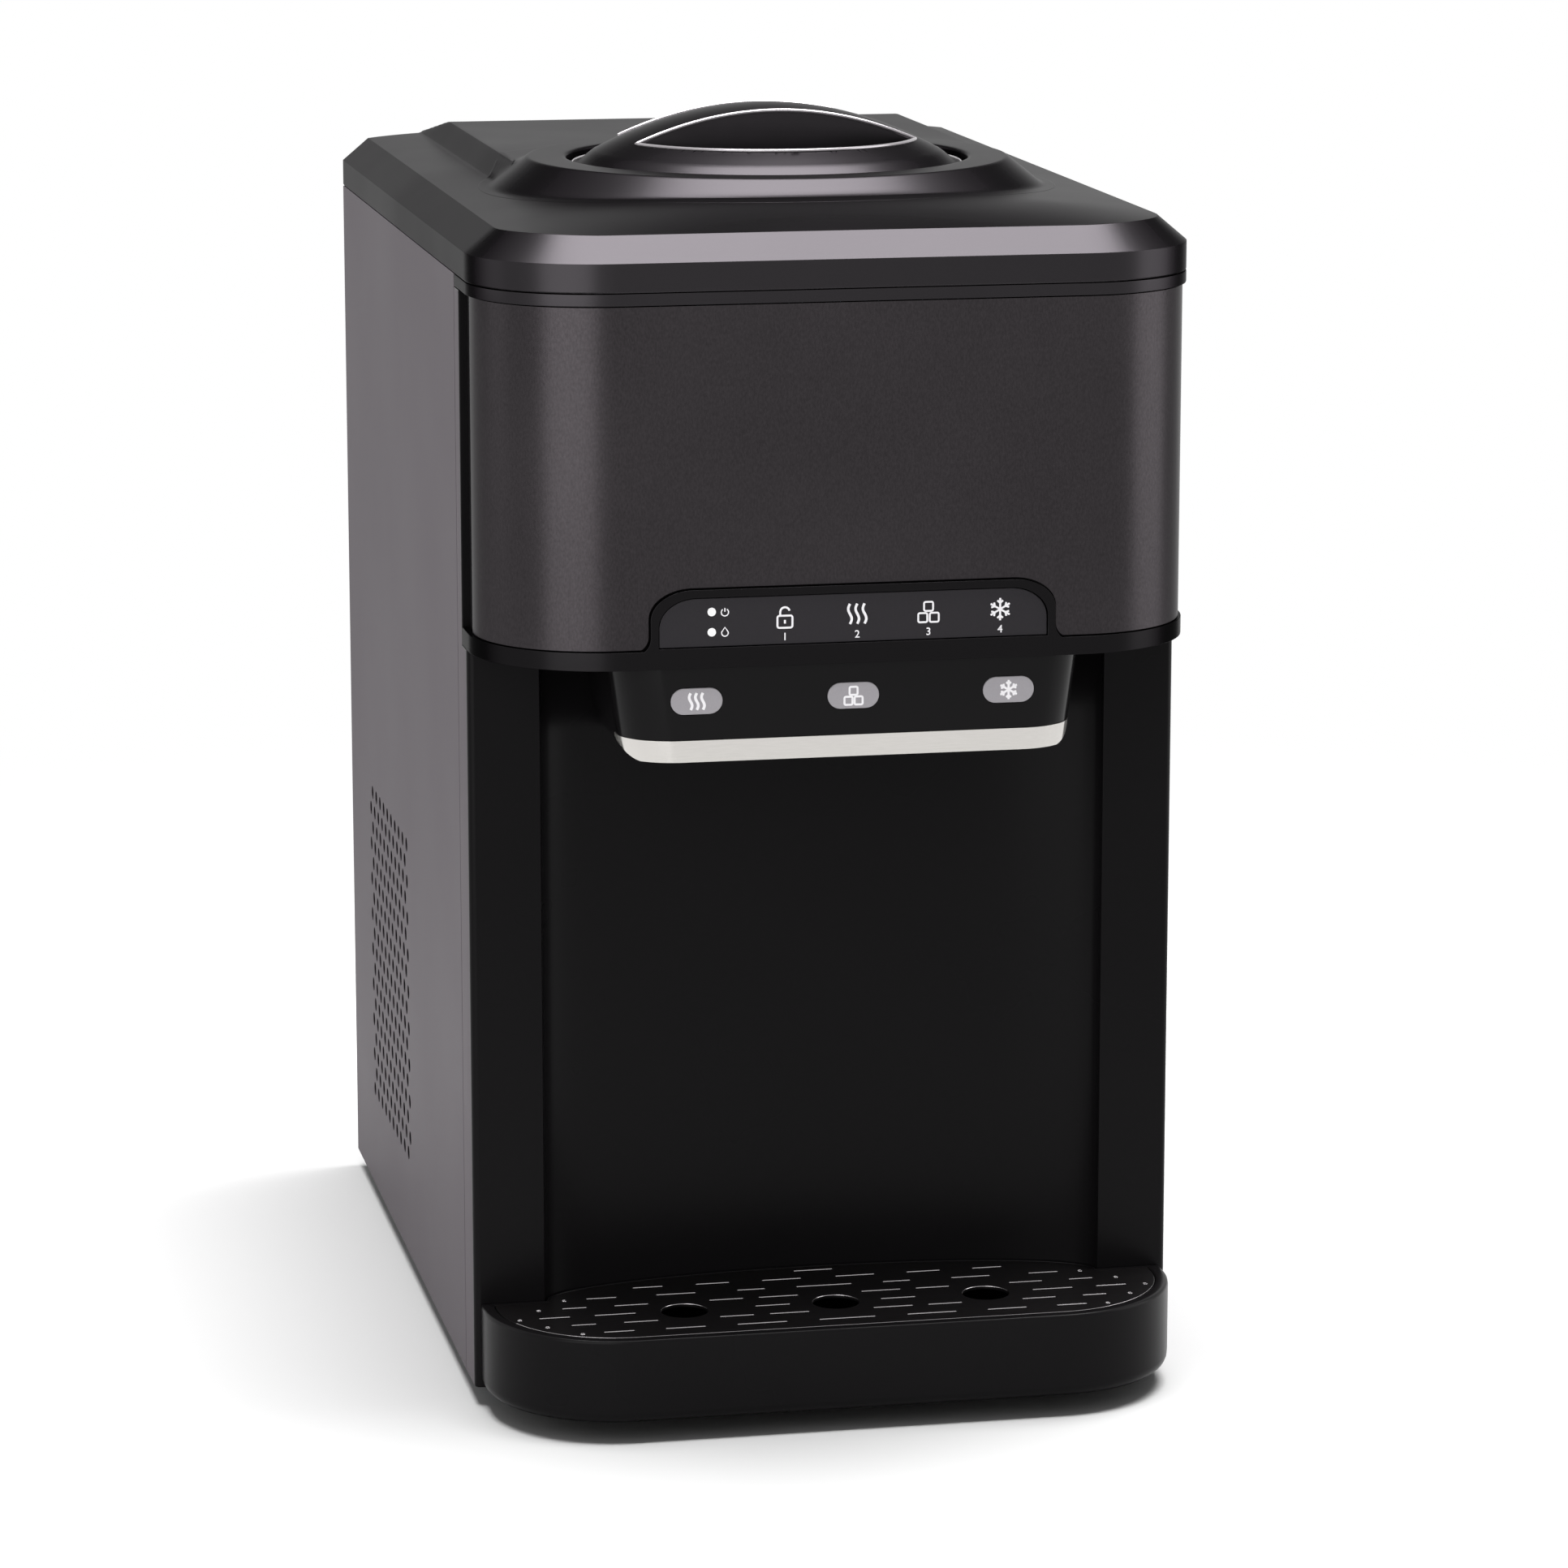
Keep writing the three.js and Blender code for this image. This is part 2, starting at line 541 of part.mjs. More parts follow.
function makeTray() {
  const body = loft([
    level(trayOutline(4, 0.5, 0.8), TRAY_Z),
    level(trayOutline(1.2, 0.5, 0.8), TRAY_Z + 1.2),
    level(trayOutline(0, 0.5, 0.8), TRAY_Z + 4),
    level(trayOutline(0, 0.5, 0.8), TRAY_TOP_Z - 1),
    level(trayOutline(0.9, 0.5, 0.8), TRAY_TOP_Z),
  ]);
  const seatZ = GRILLE_Z - GAP;
  const hollow = prism(trayOutline(TRAY_RIM, 2.2, 2.2), TRAY_Z + WALL, TRAY_TOP_Z + 1);
  const rearSeat = box(-160, 160, FASCIA_Y - 3, FASCIA_Y + 60, seatZ, TRAY_TOP_Z + 1);
  const frontSeat = prism(trayOutline(TRAY_RIM, 2.2, 2.2), seatZ, TRAY_TOP_Z + 1);
  const ribs = [-100, -50, 0, 50, 100].flatMap((x) => [
    box(x - 1, x + 1, TRAY_FRONT_Y + 4, TRAY_FRONT_Y + 9, TRAY_Z + 2, seatZ),
  ]);
  add('drip_tray', join(cut(body, hollow, rearSeat, frontSeat), ...ribs), blackPlastic());
  makeGrille();
}

// Slots in mirrored rows: distance in front of the fascia, then [centre, length] pairs, then the end dot
const GRILLE_ROWS = [
  { y: -49, slots: [[0, 25], [36.2, 22.2], [68.6, 18], [96.6, 14]], dot: 112 },
  { y: -37, slots: [[22.2, 18], [44.6, 15.6], [85.3, 15.6], [109.5, 11.5]], dot: 124.8 },
  { y: -25, slots: [[27, 16], [94.2, 18.6], [119.8, 14.2]], dot: 134.6 },
  { y: -13, slots: [[22.2, 18], [44.6, 15.6], [85.3, 15.6], [109.5, 11.5]], dot: 124.8 },
  { y: -1, slots: [[0, 25], [31.6, 13], [64, 18], [96, 14]], dot: 112 },
  { y: 11, slots: [[16, 18], [46, 15.6], [74, 14]] },
  { y: 22, slots: [[0, 18]] },
];

function makeGrille() {
  const punch = (outline) => prism(outline, GRILLE_Z - 1, GRILLE_Z + GRILLE_SHEET + 1);
  const holes = [-OUTLET_X, 0, OUTLET_X].map((x) => punch(regular(x, OUTLET_Y, 10, 14)));
  for (const { y, slots, dot } of GRILLE_ROWS) {
    for (const [centre, length] of slots) {
      for (const x of centre ? [-centre, centre] : [0]) {
        holes.push(punch(rectangle(x - length / 2, x + length / 2, FASCIA_Y + y - 0.9, FASCIA_Y + y + 0.9)));
      }
    }
    if (dot) holes.push(punch(regular(-dot, FASCIA_Y + y, 1.4, 4)), punch(regular(dot, FASCIA_Y + y, 1.4, 4)));
  }
  const plate = prism(trayOutline(TRAY_RIM + GAP, 1.4, 1.4), GRILLE_Z, GRILLE_Z + GRILLE_SHEET);
  add('drip_grille', cut(plate, ...holes), darkSteel());
}

// Top cover: chamfered shell, crowned deck, rear plateau and round boss over the well
function deckHeight(x, y) {
  const front = 8 * (1 - Math.abs(x / 138) ** 1.87);
  const rear = 3.2 * (1 - Math.abs(x / 138) ** 5);
  const blend = THREE.MathUtils.smoothstep(y, -102, 38);
  const fall = y >= -142 ? 1 : 1 - ((-142 - y) / 66) ** 1.9;
  return DECK_Z + Math.max(0, (front + (rear - front) * blend) * fall);
}

function coverRing(inset, rearInset) {
  const rearY = COVER_REAR_Y - rearInset;
  const outline = bowOutline(HALF_WIDTH - inset, UPPER_FRONT_Y + inset, rearY, UPPER_CORNER - inset);
  const extra = [0.2, 0.4, 0.6, 0.8];
  const side = (from, to) => extra.map((t) => from.clone().lerp(to, t));
  const last = outline.at(-1);
  const rear = [outline[0], ...side(outline[0], outline[1])];
  const left = [outline[1], ...side(outline[1], outline[2])];
  const front = outline.slice(2, 3 + CORNER_STEPS);
  const across = side(front.at(-1), outline[3 + CORNER_STEPS]);
  return [...rear, ...left, ...front, ...across, ...outline.slice(3 + CORNER_STEPS), ...side(last, outline[0])];
}

function footRing(radius, outline) {
  return outline.map((p) => {
    const direction = new THREE.Vector2(p.x, p.y - WELL_Y).normalize();
    return new THREE.Vector2(direction.x * radius, WELL_Y + direction.y * radius);
  });
}

function coverSolid(thickness) {
  const edge = coverRing(CHAMFER + thickness * 0.6, thickness);
  const foot = footRing(BOSS.footRadius - thickness, edge);
  const deckRing = (t) => edge.map((p, i) => {
    const q = p.clone().lerp(foot[i], t);
    return new THREE.Vector3(q.x, q.y, deckHeight(q.x, q.y) - thickness);
  });
  const wall = coverRing(thickness, thickness);
  return loft([
    level(wall, thickness ? COVER_Z - 1 : COVER_Z),
    level(wall, COVER_WALL_TOP_Z - thickness * 0.4),
    level(edge, DECK_Z - thickness),
    deckRing(0.2),
    deckRing(0.6),
    deckRing(1),
    level(footRing(BOSS.topRadius - thickness, edge), BOSS.topZ - thickness),
  ]);
}

function plateauSolid(thickness) {
  const ring = (half, rearY, z) => level(rectangle(-half, half, WELL_Y, rearY), z);
  const p = PLATEAU;
  return loft([
    ring(p.footHalf - thickness, p.rearY - thickness, p.footZ - thickness * 3),
    ring(p.topHalf - thickness, p.topRearY - thickness, p.topZ - thickness),
  ]);
}

function makeCover() {
  const shell = 3;
  const outside = join(coverSolid(0), plateauSolid(0));
  const inside = join(coverSolid(shell), plateauSolid(shell));
  const collar = cylinder(0, WELL_Y, BOSS.lipRadius + 3, LEDGE_Z, BOSS.topZ - 1);
  const mouth = cylinder(0, WELL_Y, BOSS.lipRadius, LEDGE_Z + 2.2, BOSS.topZ + 5);
  const throat = cylinder(0, WELL_Y, LEDGE_RADIUS, LEDGE_Z - 5, BOSS.topZ);
  add('top_cover', cut(join(cut(outside, inside), collar), mouth, throat), coverPlastic());
}

function makeCap() {
  const dome = (r) => CAP_TOP_Z - CAP_DOME * r * r;
  const skirtZ = 501.2;
  const outline = [
    [0, CAP_TOP_Z], [24, dome(24)], [48, dome(48)], [73, dome(73)],
    [79, 514.4], [82.5, 513.8], [CAP_SKIRT_RADIUS - 0.2, 512.6], [CAP_SKIRT_RADIUS, 511], [CAP_SKIRT_RADIUS, skirtZ], [0, skirtZ],
  ];
  const under = 3;
  const hollow = [
    [0, CAP_TOP_Z - under], [48, dome(48) - under], [72, dome(72) - under], [81.6, 510], [81.6, skirtZ - 1], [0, skirtZ - 1],
  ];
  const start = THREE.MathUtils.radToDeg(Math.asin(POCKET.chord / POCKET.radius));
  const segment = (grow) => arc(0, WELL_Y, POCKET.radius + grow, 180 + start, 360 - start, 14);
  const pocketCore = prism(segment(2.4), POCKET.floorZ - 2.4, CAP_TOP_Z);
  const pocketCut = prism(segment(0), POCKET.floorZ, CAP_TOP_Z + 5);
  const turned = (shape) => shape.translate([0, -WELL_Y, 0]).rotate([0, 0, 180]).translate([0, WELL_Y, 0]);
  const backWall = box(-70, 70, WELL_Y - POCKET.chord - 1, WELL_Y - POCKET.chord + 2.4, POCKET.floorZ - 2.4, CAP_TOP_Z);
  const core = join(pocketCore, backWall);
  const cavity = cut(revolve(hollow, 0, WELL_Y), core, turned(core));
  const cap = cut(revolve(outline, 0, WELL_Y), cavity, pocketCut, turned(pocketCut));
  add('port_cap', cap, coverPlastic());
  const seal = [[80.6, 499.5], [83.8, 499.5], [83.8, 500.9], [80.6, 500.9], [80.6, 499.5]];
  add('cap_seal', revolve(seal, 0, WELL_Y, 24), rubber());
}

// Middle deck, ice bin with its cover, auger and auger motor
function makeBin() {
  const deckHalf = 147;
  const openings = [
    regular(-118, -40, 8, 8),
    regular(118, -40, 8, 8),
    regular(120, 150, 8, 8),
    regular(-120, 150, 8, 8),
  ];
  const plate = prism(rectangle(-deckHalf, deckHalf, -128, 220), DECK_PLATE_Z, DECK_PLATE_Z + 1.5, openings);
  const stiffener = [-1, 1].map((side) => {
    const [x0, x1] = side < 0 ? [-deckHalf, SHEET - deckHalf] : [deckHalf - SHEET, deckHalf];
    return box(x0, x1, -128, 220, DECK_PLATE_Z - 12, DECK_PLATE_Z + 1);
  });
  add('middle_deck', join(plate, ...stiffener), galvanised());

  const section = (shrink) => {
    const radius = BIN.trough - shrink;
    const top = BIN.topZ + (shrink ? 1 : 0);
    return [
      ...arc(0, BIN.troughZ, radius, 200, 340, 8),
      new THREE.Vector2(BIN.half - shrink, BIN.shoulderZ + shrink / 2),
      new THREE.Vector2(BIN.half - shrink, top),
      new THREE.Vector2(shrink - BIN.half, top),
      new THREE.Vector2(shrink - BIN.half, BIN.shoulderZ + shrink / 2),
    ];
  };
  const shell = cut(
    alongY(section(0), BIN.frontY, BIN.rearY),
    alongY(section(WALL), BIN.frontY + WALL, BIN.rearY - WALL),
    box(-20.5, 20.5, CHUTE.frontY + 5, CHUTE.rearY - 2, 330, 345),
    cylinderY(0, BIN.troughZ, 5.8, BIN.rearY - 5, BIN.rearY + 5, 12),
  );
  add('ice_bin', shell, whitePlastic());

  const legs = [-1, 1].map((side) => {
    const [x0, x1] = side < 0 ? [-98, -95] : [95, 98];
    return box(x0, x1, -110, 30, DECK_PLATE_Z + 1.5 + GAP, 398);
  });
  const lidPlate = box(-98, 98, -205, 50, 395.5, 398.5);
  add('bin_cover', join(lidPlate, ...legs), foam());

  add('ice_auger', join(augerFlight(), augerShaft(), ...augerSpokes()), stainless());
  const motorZ = BIN.troughZ;
  const can = join(
    cylinderY(0, motorZ, 26, 168, 206, 16),
    box(-24, 24, 156, 170, DECK_PLATE_Z + 1.5 + GAP, motorZ + 24),
  );
  add('auger_motor', cut(can, cylinderY(0, motorZ, 5.4, 150, AUGER.rearY + 1, 12)), galvanised());
}

function augerShaft() {
  return cylinderY(0, BIN.troughZ, AUGER.shaft, AUGER.frontY, AUGER.rearY, 8);
}

// Spokes tie the open flight to the shaft once every two turns
function augerSpokes() {
  const spacing = AUGER.pitch * 2;
  return [0, 1, 2, 3].map((i) => {
    const y = AUGER.flightY + AUGER.pitch / 2 + i * spacing;
    return box(-AUGER.core - 3, 0, y - 1.5, y + 1.5, BIN.troughZ - 2, BIN.troughZ + 2);
  });
}

function augerFlight() {
  const length = BIN.rearY - 8 - AUGER.flightY;
  const stepsPerTurn = 8;
  const steps = Math.round((length / AUGER.pitch) * stepsPerTurn);
  const position = [];
  const index = [];
  for (let i = 0; i <= steps; i += 1) {
    const angle = (2 * Math.PI * i) / stepsPerTurn;
    const y = AUGER.flightY + (length * i) / steps;
    for (const [radius, dy] of [[AUGER.core, -1], [AUGER.flight, -1], [AUGER.flight, 1], [AUGER.core, 1]]) {
      const offset = (dy * AUGER.thick) / 2;
      position.push(radius * Math.cos(angle), y + offset, BIN.troughZ + radius * Math.sin(angle));
    }
    if (i === 0) continue;
    const now = i * 4;
    for (let k = 0; k < 4; k += 1) {
      const next = (k + 1) % 4;
      index.push(now - 4 + k, now - 4 + next, now + next, now - 4 + k, now + next, now + k);
    }
  }
  const last = steps * 4;
  index.push(0, 2, 1, 0, 3, 2, last, last + 1, last + 2, last, last + 2, last + 3);
  const surface = new THREE.BufferGeometry();
  surface.setAttribute('position', new THREE.Float32BufferAttribute(position, 3));
  surface.setIndex(index);
  return solid(surface);
}

// Chute with its gate
function makeChute() {
  const { half, frontY, rearY, topZ } = CHUTE;
  const wall = 2;
  const hole = rectangle(wall - half, half - wall, frontY + wall, rearY - wall);
  const tubeBody = prism(rectangle(-half, half, frontY, rearY), SPOUT.bottomZ, topZ, [hole]);
  const pinHole = cylinderX(-30, 30, GATE.y, GATE.z, GATE.rod + 0.5, 10);
  add('ice_chute', cut(tubeBody, pinHole), whitePlastic());

  const blade = box(-GATE.half, GATE.half, -GATE.length, 0, -1, 1);
  const tilted = blade.rotate([GATE.rest, 0, 0]).translate([0, GATE.y, GATE.z]);
  const rod = cylinderX(-half + 0.2, half + 8, GATE.y, GATE.z, GATE.rod, 10);
  add('ice_gate', join(tilted, rod), whitePlastic());

  const motor = join(
    box(half + 4, half + 30, GATE.y - 12, GATE.y + 12, GATE.z - 14, GATE.z + 7),
    box(half + GAP, half + 5, GATE.y - 9, GATE.y + 9, GATE.z - 7, GATE.z + 6),
  );
  const bore = cylinderX(half - 1, half + 9, GATE.y, GATE.z, GATE.rod + 0.5, 10);
  add('gate_motor', cut(motor, bore), whitePlastic());
}

// Ice unit: frame, evaporator, swinging tray and its motor
function makeIceUnit() {
  const base = DECK_PLATE_Z + 1.5 + GAP;
  const sides = [-1, 1].map((side) => {
    const [x0, x1] = side < 0 ? [-97.5, -95.5] : [95.5, 97.5];
    return box(x0, x1, 62, 150, base, 489);
  });
  const bridge = box(-97.5, 97.5, 78, 122, 487, 489);
  const hangers = [-1, 1].map((side) => {
    const [x0, x1] = side < 0 ? [-60, -58] : [58, 60];
    const outline = [[112, 454], [134, 454], [134, 470], [118, 488], [80, 488], [80, 480], [112, 472]];
    return alongX(outline.map(([y, z]) => new THREE.Vector2(y, z)), x0, x1);
  });
  const pinHoles = cylinderX(-62, 62, ICE.pivotY, ICE.pivotZ, 3.5, 12);
  add('ice_unit_frame', cut(join(bridge, ...sides, ...hangers), pinHoles), galvanised());

  const plate = box(-50, 50, 77, 116, 470, 475);
  const fingers = [-36, -12, 12, 36].flatMap((x) => [84, 105].map((y) =>
    revolve([[0, 448], [3.5, 449], [5, 452], [5, 471], [0, 471]], x, y, 6)));
  const coil = tube([[-40, 118, 479], [-44, 84, 479], [-20, 80, 479], [-6, 110, 479], [8, 110, 479],
    [22, 80, 479], [42, 86, 479], [46, 140, 480], [80, 156, 480], [112, 154, 474], [120, 150, 440], [120, 150, 320],
    [112, 146, 250], [COMPRESSOR.x + 24, 100, 190], [COMPRESSOR.x + 16, 76, COMPRESSOR.topZ + 3]], 3, 5, 36);
  const studs = [-30, 30].map((x) => cylinder(x, 98, 3, 474, 486.7, 8));
  const saddle = box(-46, 46, 92, 100, 474, 480);
  add('evaporator', join(plate, saddle, coil, ...fingers, ...studs), copper());

  const { trayHalf: half, trayFrontY: frontY, trayBottomZ: bottomZ, trayTopZ: topZ, pivotY, pivotZ } = ICE;
  const section = (shrink) => [
    new THREE.Vector2(frontY + shrink, topZ + shrink),
    new THREE.Vector2(frontY + 3 + shrink, bottomZ + shrink),
    new THREE.Vector2(pivotY - 8 - shrink, bottomZ + shrink),
    new THREE.Vector2(pivotY - 5 - shrink, topZ + shrink),
  ];
  const trough = cut(alongX(section(0), -half, half), alongX(section(2), 2 - half, half - 2));
  const cheeks = [-1, 1].map((side) => {
    const [x0, x1] = side < 0 ? [-half, 2 - half] : [half - 2, half];
    const outline = [new THREE.Vector2(pivotY - 12, 452), ...arc(pivotY, pivotZ, 5, -60, 100, 5)];
    outline.push(new THREE.Vector2(pivotY - 12, topZ));
    return alongX(outline, x0, x1);
  });
  const pins = [cylinderX(-62, 1 - half, pivotY, pivotZ, 3, 12), cylinderX(half - 1, 70, pivotY, pivotZ, 3, 12)];
  add('water_tray', join(trough, ...cheeks, ...pins), whitePlastic());

  const motor = cut(
    join(cylinderX(62, 84, pivotY, pivotZ, 20, INNER_ROUND), cylinderX(60.3, 63, pivotY, pivotZ, 8, 12), cylinderX(83, 95.2, pivotY, pivotZ, 6, 12)),
    cylinderX(58, 71, pivotY, pivotZ, 3.5, 12),
  );
  add('tray_motor', motor, whitePlastic());
}

// Reservoir under the well, level stem and float, pump
function superOutline(halfX, halfY, power, count = 20) {
  const bent = (v) => Math.sign(v) * Math.abs(v) ** (2 / power);
  return Array.from({ length: count }, (_, i) => {
    const angle = (2 * Math.PI * i) / count;
    return new THREE.Vector2(halfX * bent(Math.cos(angle)), WELL_Y + halfY * bent(Math.sin(angle)));
  });
}

function reservoirShape(shrink) {
  const { z, halfX, halfY, topZ, mouth } = TANK;
  return loft([
    level(superOutline(halfX - 4 - shrink, halfY - 4 - shrink, 5), z - 1 + shrink),
    level(superOutline(halfX - shrink, halfY - shrink, 5), z + 3 + shrink),
    level(superOutline(halfX - shrink, halfY - shrink, 4), 470),
    level(superOutline(mouth - shrink, mouth - shrink, 2), 488),
    level(superOutline(mouth - shrink, mouth - shrink, 2), topZ + (shrink ? 1 : 0)),
  ]);
}

function makeReservoir() {
  const spigots = [-1, 1].map((side) => {
    const [x0, x1] = side < 0 ? [-104, -88] : [88, 104];
    return cylinderX(x0, x1, -40, 412, 5, 10);
  });
  const bores = cylinderX(-110, 110, -40, 412, 3.2, 10);
  const [x, y] = [-50, -80];
  const floorZ = TANK.z - 1 + WALL;
  const stem = revolve([[0, floorZ - 1], [10, floorZ - 1], [10, floorZ + 2], [3, floorZ + 3], [3, 480], [0, 480]], x, y, 6);
  const tank = join(cut(reservoirShape(0), reservoirShape(WALL)), ...spigots);
  add('reservoir', join(cut(tank, bores), stem), clearBlue());
  const low = floorZ + 3.5;
  const ring = [[3.6, low], [11, low], [12, low + 2], [12, low + 14], [11, low + 16], [3.6, low + 16], [3.6, low]];
  add('level_float', revolve(ring, x, y, INNER_ROUND), foam());

  const pumpBase = DECK_PLATE_Z + 1.5 + GAP;
  const pump = join(
    box(-136, -104, 84, 124, pumpBase, pumpBase + 4),
    cylinder(-120, 104, 15, pumpBase + 3, pumpBase + 38, 20),
    cylinder(-120, 104, 5, pumpBase + 36, pumpBase + 48, 10),
  );
  add('water_pump', pump, whitePlastic());
}

// Tanks, valves and nozzles
function makeWater() {
  const tankZ = BODY_Z + SHEET + GAP;
  const hot = HOT_TANK;
  const hotProfile = [
    [0, tankZ], [30, tankZ], [30, tankZ + 6], [hot.radius - 4, tankZ + 8], [hot.radius, tankZ + 14],
    [hot.radius, hot.topZ - 16], [hot.radius - 12, hot.topZ - 5], [8, hot.topZ], [8, hot.topZ + 8], [0, hot.topZ + 8],
  ];
  add('hot_tank', revolve(hotProfile, hot.x, hot.y, INNER_ROUND), stainless());
  const cold = COLD_TANK;
  const coldProfile = [
    [0, tankZ], [cold.radius, tankZ], [cold.radius, cold.topZ - 6], [cold.radius - 6, cold.topZ], [8, cold.topZ],
    [8, cold.topZ + 8], [0, cold.topZ + 8],
  ];
  add('cold_tank', revolve(coldProfile, cold.x, cold.y, 16), foam());

  for (const [name, side] of [['hot', -1], ['cold', 1]]) {
    const x = side * OUTLET_X;
    const nozzle = revolve([
      [0, SPOUT.bottomZ + 0.2], [6, SPOUT.bottomZ + 0.2], [7, SPOUT.bottomZ + 3], [7, 296], [9, 297], [9, 301], [0, 301],
    ], x, OUTLET_Y, INNER_ROUND);
    const body = box(x - 11, x + 11, OUTLET_Y - 11, OUTLET_Y + 11, 299.8, 312);
    const coil = cylinderY(x, 306, 8, OUTLET_Y + 10, OUTLET_Y + 26, 10);
    const bore = cylinder(x, OUTLET_Y, 4, SPOUT.bottomZ - 1, 304, 8);
    add(`outlet_valve_${name}`, cut(join(nozzle, body, coil), bore), whitePlastic());
  }
  const hotTop = hot.topZ + 8 + GAP;
  const coldTop = cold.topZ + 8 + GAP;
  const valveBack = OUTLET_Y + 26 + GAP;
  add('hose_hot', tube([[hot.x, hot.y, hotTop], [hot.x, hot.y, 190], [-66, -96, 262], [-OUTLET_X, -124, 304],
    [-OUTLET_X, -146, 306], [-OUTLET_X, valveBack, 306]], 4.5, 6, 10), silicone());
  add('hose_cold', tube([[cold.x, cold.y, coldTop], [cold.x, cold.y, 200], [66, -92, 262], [OUTLET_X, -124, 304],
    [OUTLET_X, -146, 306], [OUTLET_X, valveBack, 306]], 4.5, 6, 10), silicone());
  add('feed_hose_hot', tube([[-104.6, -40, 412], [-109, -40, 411.6], [-118, -40, 398], [-118, -40, 330],
    [-118, -40, 250], [-112, -56, 170], [-108, -60, 148]], 4.5, 6, 10), silicone());
  add('feed_hose_cold', tube([[104.6, -40, 412], [109, -40, 411.6], [118, -40, 398], [118, -40, 330],
    [118, -42, 240], [112, -56, 188], [110, -58, 171]], 4.5, 6, 10), silicone());
  add('pump_hose', tube([[-120, 104, 380.2], [-120, 104, 440], [-112, 98, 490], [-80, 76, 492], [-52, 71.5, 488],
    [-46, 71.5, 469]], 3, 5, 10), silicone());
}

// Refrigeration: compressor on grommets, condenser, drier, fan and lines
function makeCooling() {
  const pan = BODY_Z + SHEET + GAP;
  const c = COMPRESSOR;
  const corners = [[-38, -38], [38, -38], [38, 38], [-38, 38]];
  const plateZ = pan + 9;
  const plate = box(c.x - 48, c.x + 48, c.y - 48, c.y + 48, plateZ, plateZ + 2.5);
  const pot = revolve([
    [0, plateZ + 1], [36, plateZ + 1], [c.radius - 4, plateZ + 12], [c.radius, plateZ + 24], [c.radius, c.topZ - 30],
    [c.radius - 10, c.topZ - 8], [20, c.topZ], [0, c.topZ],
  ], c.x, c.y, 16);
  const grommets = corners.map(([dx, dy]) => revolve([
    [0, pan], [8, pan], [8, plateZ + 1], [5, plateZ + 8], [0, plateZ + 8],
  ], c.x + dx, c.y + dy, 8));
  add('compressor', join(plate, pot, ...grommets), blackPlastic());

  const finPitch = 10;
  const finCount = 12;
  const core = [-130, -126];
  const comb = [];
  for (let i = 0; i < finCount; i += 1) {
    const y = 36 + i * finPitch;
    comb.push([core[1], y], [-117, y], [-117, y + 2], [core[1], y + 2]);
  }
  const other = comb.map(([x, y]) => [x === core[1] ? core[0] : -139, y]).reverse();
  const outline = [...comb, ...other].map(([x, y]) => new THREE.Vector2(x, y));
  const legs = box(-139, -117, 36, 38, pan, 60);
  const rearLeg = box(-139, -117, 146, 148, pan, 60);
  const drier = revolve([
    [0, 90], [3, 90], [3, 96], [9, 104], [9, 150], [3, 158], [3, 164], [0, 164],
  ], -100, 196, 10);
  const discharge = tube([[c.x, c.y + 18, c.topZ + 1.4], [c.x, c.y + 24, 190], [20, 150, 214], [-60, 168, 214],
    [-116, 168, 212], [-128, 156, 206], [-128, 147, 196]], 3, 5, 14);
  const liquid = tube([[-128, 147, 66], [-126, 168, 70], [-112, 190, 76], [-100, 196, 82], [-100, 196, 92]], 2.5, 5, 8);
  add('condenser', join(prism(outline, 56, 198), legs, rearLeg, discharge, liquid, drier), aluminium());

  const { y, z, ring, hub } = FAN;
  const shroudX = -113;
  const frame = alongX(rectangle(y - 62, y + 62, pan, z + 62), shroudX, shroudX + 12, [regular(y, z, ring, 24)]);
  const struts = [0, 90].map((turn) =>
    box(shroudX + 13.5, shroudX + 16, -ring - 5, ring + 5, -3, 3).rotate([turn, 0, 0]).translate([0, y, z]));
  const rimPads = [0, 90, 180, 270].map((turn) =>
    box(shroudX + 11, shroudX + 16, ring + 1, ring + 5, -3, 3).rotate([turn, 0, 0]).translate([0, y, z]));
  const seat = cylinderX(shroudX + 13.5, shroudX + 16, y, z, 16, 16);
  const shaftHole = cylinderX(shroudX + 10, shroudX + 18, y, z, 4, 10);
  add('fan_shroud', cut(join(frame, ...struts, ...rimPads, seat), shaftHole), blackPlastic());

  const blades = Array.from({ length: 5 }, (_, i) =>
    fanBlade().rotate([i * 72, 0, 0]).translate([shroudX + 6, y, z]));
  const hubBody = cylinderX(shroudX + 1.5, shroudX + 11, y, z, hub, INNER_ROUND);
  const hubBore = cylinderX(shroudX + 5, shroudX + 12, y, z, 2.9, 10);
  add('fan_rotor', cut(join(hubBody, ...blades), hubBore), whitePlastic());

  const motor = join(
    cylinderX(shroudX + 16.3, shroudX + 40, y, z, 20, INNER_ROUND),
    cylinderX(shroudX + 6, shroudX + 17, y, z, 2.5, 10),
  );
  add('fan_motor', motor, galvanised());

}

